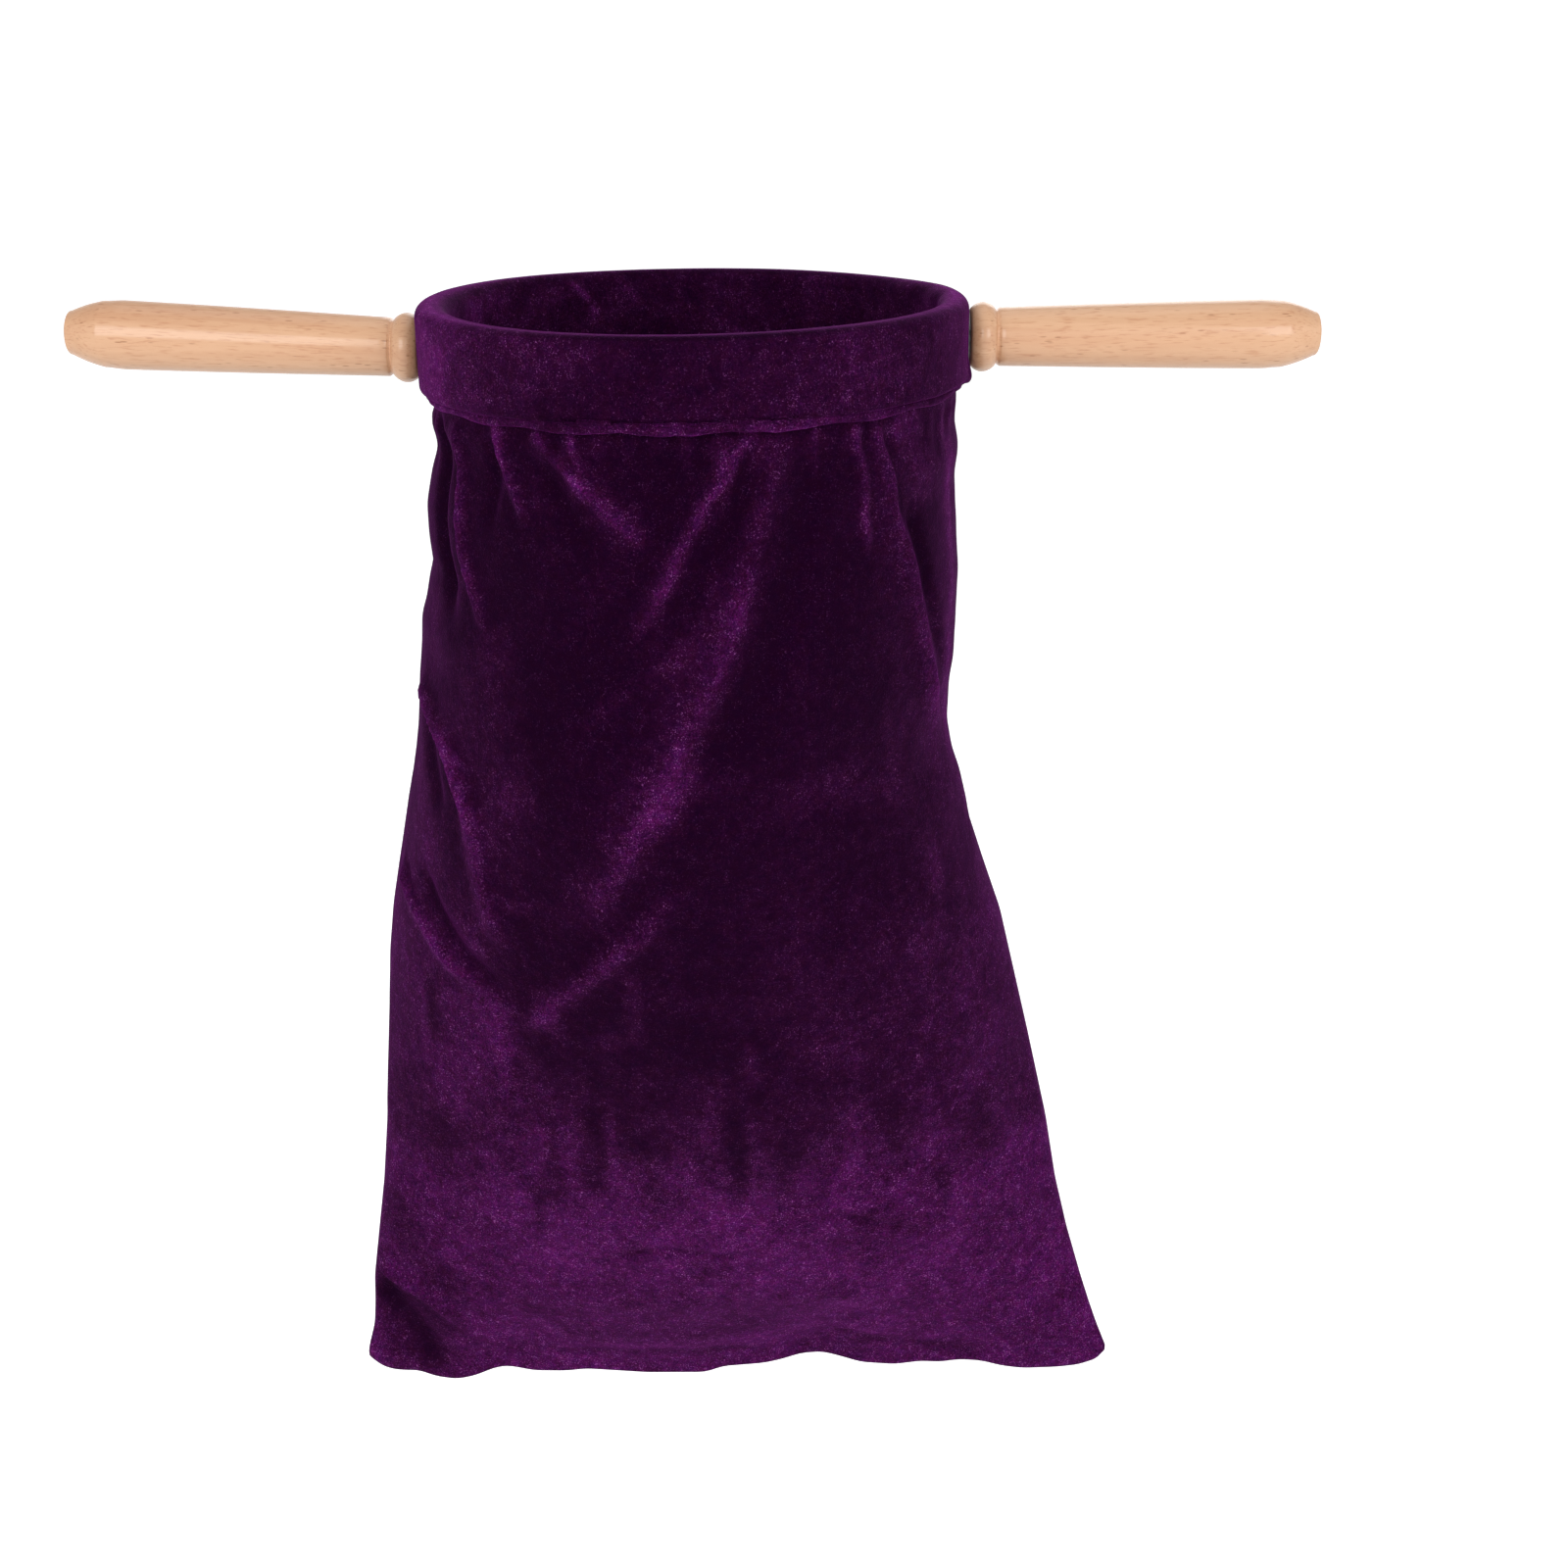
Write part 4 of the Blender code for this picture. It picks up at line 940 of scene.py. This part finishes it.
def handle_outline(length):
    """The turned outline from the hoop outwards: (along, radius) in millimetres."""
    line = [(0, 0), (0, HUB_RADIUS)]
    # the bead
    for t in shares(26):
        swell = math.sin(math.pi * t) ** 0.62 if 0 < t < 1 else 0
        foot = FOOT_RADIUS + (GROOVE_RADIUS - FOOT_RADIUS) * t
        line.append((t * BEAD_LENGTH, foot + (BEAD_RADIUS - foot) * swell))
    # the groove
    line.append((BEAD_LENGTH + 0.25, GROOVE_RADIUS))
    line.append((BEAD_LENGTH + 0.8, NECK_RADIUS - 0.25))
    line.append((BEAD_LENGTH + 1.2, NECK_RADIUS))
    # the body, which swells towards the hand
    start = BEAD_LENGTH + 1.4
    end = length - SHOULDER - BELLY_RUN
    for t in shares(40)[1:-1]:
        swell = 0.62 * t + 0.38 * math.sin(t * math.pi / 2)
        line.append((start + (end - start) * t, NECK_RADIUS + (BELLY_RADIUS - NECK_RADIUS) * swell))
    for t in shares(12):
        line.append((end + BELLY_RUN * t, BELLY_RADIUS - t * t * (3 - 2 * t) * BELLY_FALL))
    # the coned shoulder, and the small flat end with its edge rounded
    for t in shares(14)[1:]:
        fall = (BELLY_RADIUS - BELLY_FALL - END_RADIUS) * (0.4 * t * t + 0.6 * t)
        line.append((length - SHOULDER + (SHOULDER - END_ROUND) * t, BELLY_RADIUS - BELLY_FALL - fall))
    for t in shares(6)[1:]:
        short = END_ROUND * (1 - math.sin(t * math.pi / 2))
        under = END_ROUND * (1 - math.cos(t * math.pi / 2))
        line.append((length - short, END_RADIUS - under))
    line.append((length, END_RADIUS / 2))
    line.append((length, 0))
    return line


def make_handle(side, seed):
    """Spun from its outline and set where the solid handle is."""
    rise = HANDLE_RISE[side]
    low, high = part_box(side + "_handle")
    reach = (-low[0] if side == "left" else high[0]) - SLEEVE_OUTER
    seat = SLEEVE_OUTER + SEAT_GAP * MM + GROOVE_RADIUS * MM * math.sin(abs(rise))
    lost = (seat - SLEEVE_OUTER) + END_CORNER * MM * math.sin(abs(rise))
    outline = handle_outline((reach - lost) / math.cos(rise) / MM)
    turn = np.linspace(0, 2 * math.pi, HANDLE_FACETS, endpoint=False)
    rings = []
    for along, radius in outline[1:-1]:
        ring = [radius * np.cos(turn), radius * np.sin(turn), np.full_like(turn, along)]
        rings.append(np.stack(ring, -1))
    middles = [[0, 0, 0], [0, 0, outline[-1][0]]]
    points = np.concatenate([np.concatenate(rings), middles]) * MM
    index = np.arange(len(rings) * HANDLE_FACETS).reshape(len(rings), HANDLE_FACETS)
    onward = np.roll(index, -1, axis=1)
    quads = np.stack([index[:-1], onward[:-1], onward[1:], index[1:]], -1).reshape(-1, 4).tolist()
    inner, outer = len(points) - 2, len(points) - 1
    caps = [(inner, int(b), int(a)) for a, b in zip(index[0], onward[0])]
    caps += [(outer, int(a), int(b)) for a, b in zip(index[-1], onward[-1])]

    mesh = bpy.data.meshes.new(side + "_turned_handle")
    mesh.from_pydata(points.tolist(), [], quads + caps)
    mesh.shade_smooth()
    mesh.set_sharp_from_angle(angle=math.radians(50))
    mesh.materials.append(lacquered_beech(side + "_lacquered_beech", seed))
    handle = placed(side + "_turned_handle", mesh)
    tilt = Matrix.Rotation(SIDES[side] * (math.pi / 2 - rise), 4, "Y")
    handle.matrix_world = Matrix.Translation((SIDES[side] * seat, 0, 0)) @ tilt
    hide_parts(side + "_handle")
    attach(handle, "hoop_frame")


# Stitching and the pieces that stay as they are

STITCH_RADIUS = 0.28 * MM
STITCH_PITCH = 3.0 * MM
STITCH_SECTIONS = 5
STITCH_SIDES = 6
# How much of the pitch a stitch fills, from where to where
STITCH_SPAN = (0.06, 0.94)
# How far the bag's side seams run inside its edge, in millimetres
SEAM_INSET = 2.2
# How far a stitch's ends sink into the cloth
DIP = 0.15 * MM


def stitch_rings(line, dip):
    """The round sections of every stitch along a line: thin and sunk at its ends, full between."""
    line = np.array(line)
    dip = np.array(dip)
    length = distances(line)[-1]
    count = max(int(length / STITCH_PITCH), 1)
    arch = np.sin(np.linspace(0, math.pi, STITCH_SECTIONS))
    turns = np.arange(STITCH_SIDES) * 2 * math.pi / STITCH_SIDES
    rings = []
    for stitch in range(count):
        marks = (stitch + np.linspace(*STITCH_SPAN, STITCH_SECTIONS)) * length / count
        centre = sampled(line, marks)
        ahead = centre[-1] - centre[0]
        first = np.cross(ahead, dip)
        first = first / np.linalg.norm(first)
        second = np.cross(first, ahead / np.linalg.norm(ahead))
        centre = centre + dip * (1 - arch)[:, None]
        for place, swell in zip(centre, arch):
            radius = STITCH_RADIUS * (0.55 + 0.45 * swell)
            rings.append([place + radius * (math.cos(t) * first + math.sin(t) * second) for t in turns])
    return rings


def make_stitches(name, node, line, dip, thread):
    """A row of lockstitches: short threads end to end along a line, sinking into the cloth."""
    rings = stitch_rings(line, dip)
    made = bmesh.new()
    for start in range(0, len(rings), STITCH_SECTIONS):
        loops = [[made.verts.new(p) for p in ring] for ring in rings[start:start + STITCH_SECTIONS]]
        for near, far in zip(loops, loops[1:]):
            for a, b, c, d in zip(near, near[1:] + near[:1], far[1:] + far[:1], far):
                made.faces.new((a, b, c, d))
        made.faces.new(loops[0][::-1])
        made.faces.new(loops[-1])
    mesh = bpy.data.meshes.new(name)
    made.to_mesh(mesh)
    made.free()
    mesh.shade_smooth()
    mesh.materials.append(thread)
    row = placed(name, mesh)
    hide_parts(node)
    return row


def make_stitching():
    """Each seam's thread as the stitches that show: inside the bag, and under the rim."""
    thread = spun_thread()
    low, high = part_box("sleeve_end_thread")
    x, y = (low[0] + high[0]) / 2, (low[1] + high[1]) / 2
    line = [(x, y, low[2]), (x, y, high[2])]
    seam = math.radians(SLEEVE_SEAM)
    outwards = (math.cos(seam) * 0.2 * MM, math.sin(seam) * 0.2 * MM, 0)
    row = make_stitches("sleeve_end_stitches", "sleeve_end_thread", line, outwards, thread)
    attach(row, "hoop_frame")

    low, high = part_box("rim_seam_thread")
    radius, height = high[0] - STITCH_RADIUS, (low[2] + high[2]) / 2
    turns = np.linspace(0, 2 * math.pi, 241)
    line = [(radius * math.cos(t), radius * math.sin(t), height) for t in turns]
    row = make_stitches("rim_seam_stitches", "rim_seam_thread", line, (0, 0, DIP), thread)
    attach(row, "hoop_frame")

    for side, edge in (("left", LEFT_EDGE), ("right", RIGHT_EDGE)):
        node = side + "_seam_thread"
        low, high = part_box(node)
        depths = np.linspace(-high[2], -low[2], 90)
        line = [((through(edge, d / MM) - SIDES[side] * SEAM_INSET) * MM, 0, -d) for d in depths]
        row = make_stitches(side + "_seam_stitches", node, line, (0, DIP, 0), thread)
        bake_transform(row)

    low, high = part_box("bottom_seam_thread")
    level = (low[2] + high[2]) / 2
    line = [(low[0], 0, level), (high[0], 0, level)]
    row = make_stitches("bottom_seam_stitches", "bottom_seam_thread", line, (0, 0, DIP), thread)
    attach(row, "bag")


def dress_solids():
    """The hoop and the screws keep their solids, with the finish of the real ones."""
    zinc = bright_zinc()
    finishes = {"hoop": bare_beech(), "left_handle_screw": zinc, "right_handle_screw": zinc}
    for node, material in finishes.items():
        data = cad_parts[node].data
        data.materials.clear()
        data.materials.append(material)


def main():
    bpy.context.scene.view_settings.view_transform = "Standard"
    make_camera()
    make_floor()
    make_sky()
    for lamp in LAMPS:
        hang_lamp(*lamp)
    make_rim_sleeve(dyed_velvet("rim_velvet", 3))
    bag_velvet = dyed_velvet("bag_velvet", 0)
    make_bag_panel("velvet_front", "front_panel", 1, FRONT_FOLDS + FRONT_BRUSHED_AND_PAINTED, 1, bag_velvet)
    make_bag_panel("velvet_back", "back_panel", -1, BACK_FOLDS, 11, bag_velvet)
    make_handle("left", 1)
    make_handle("right", 5)
    dress_solids()
    make_stitching()


main()
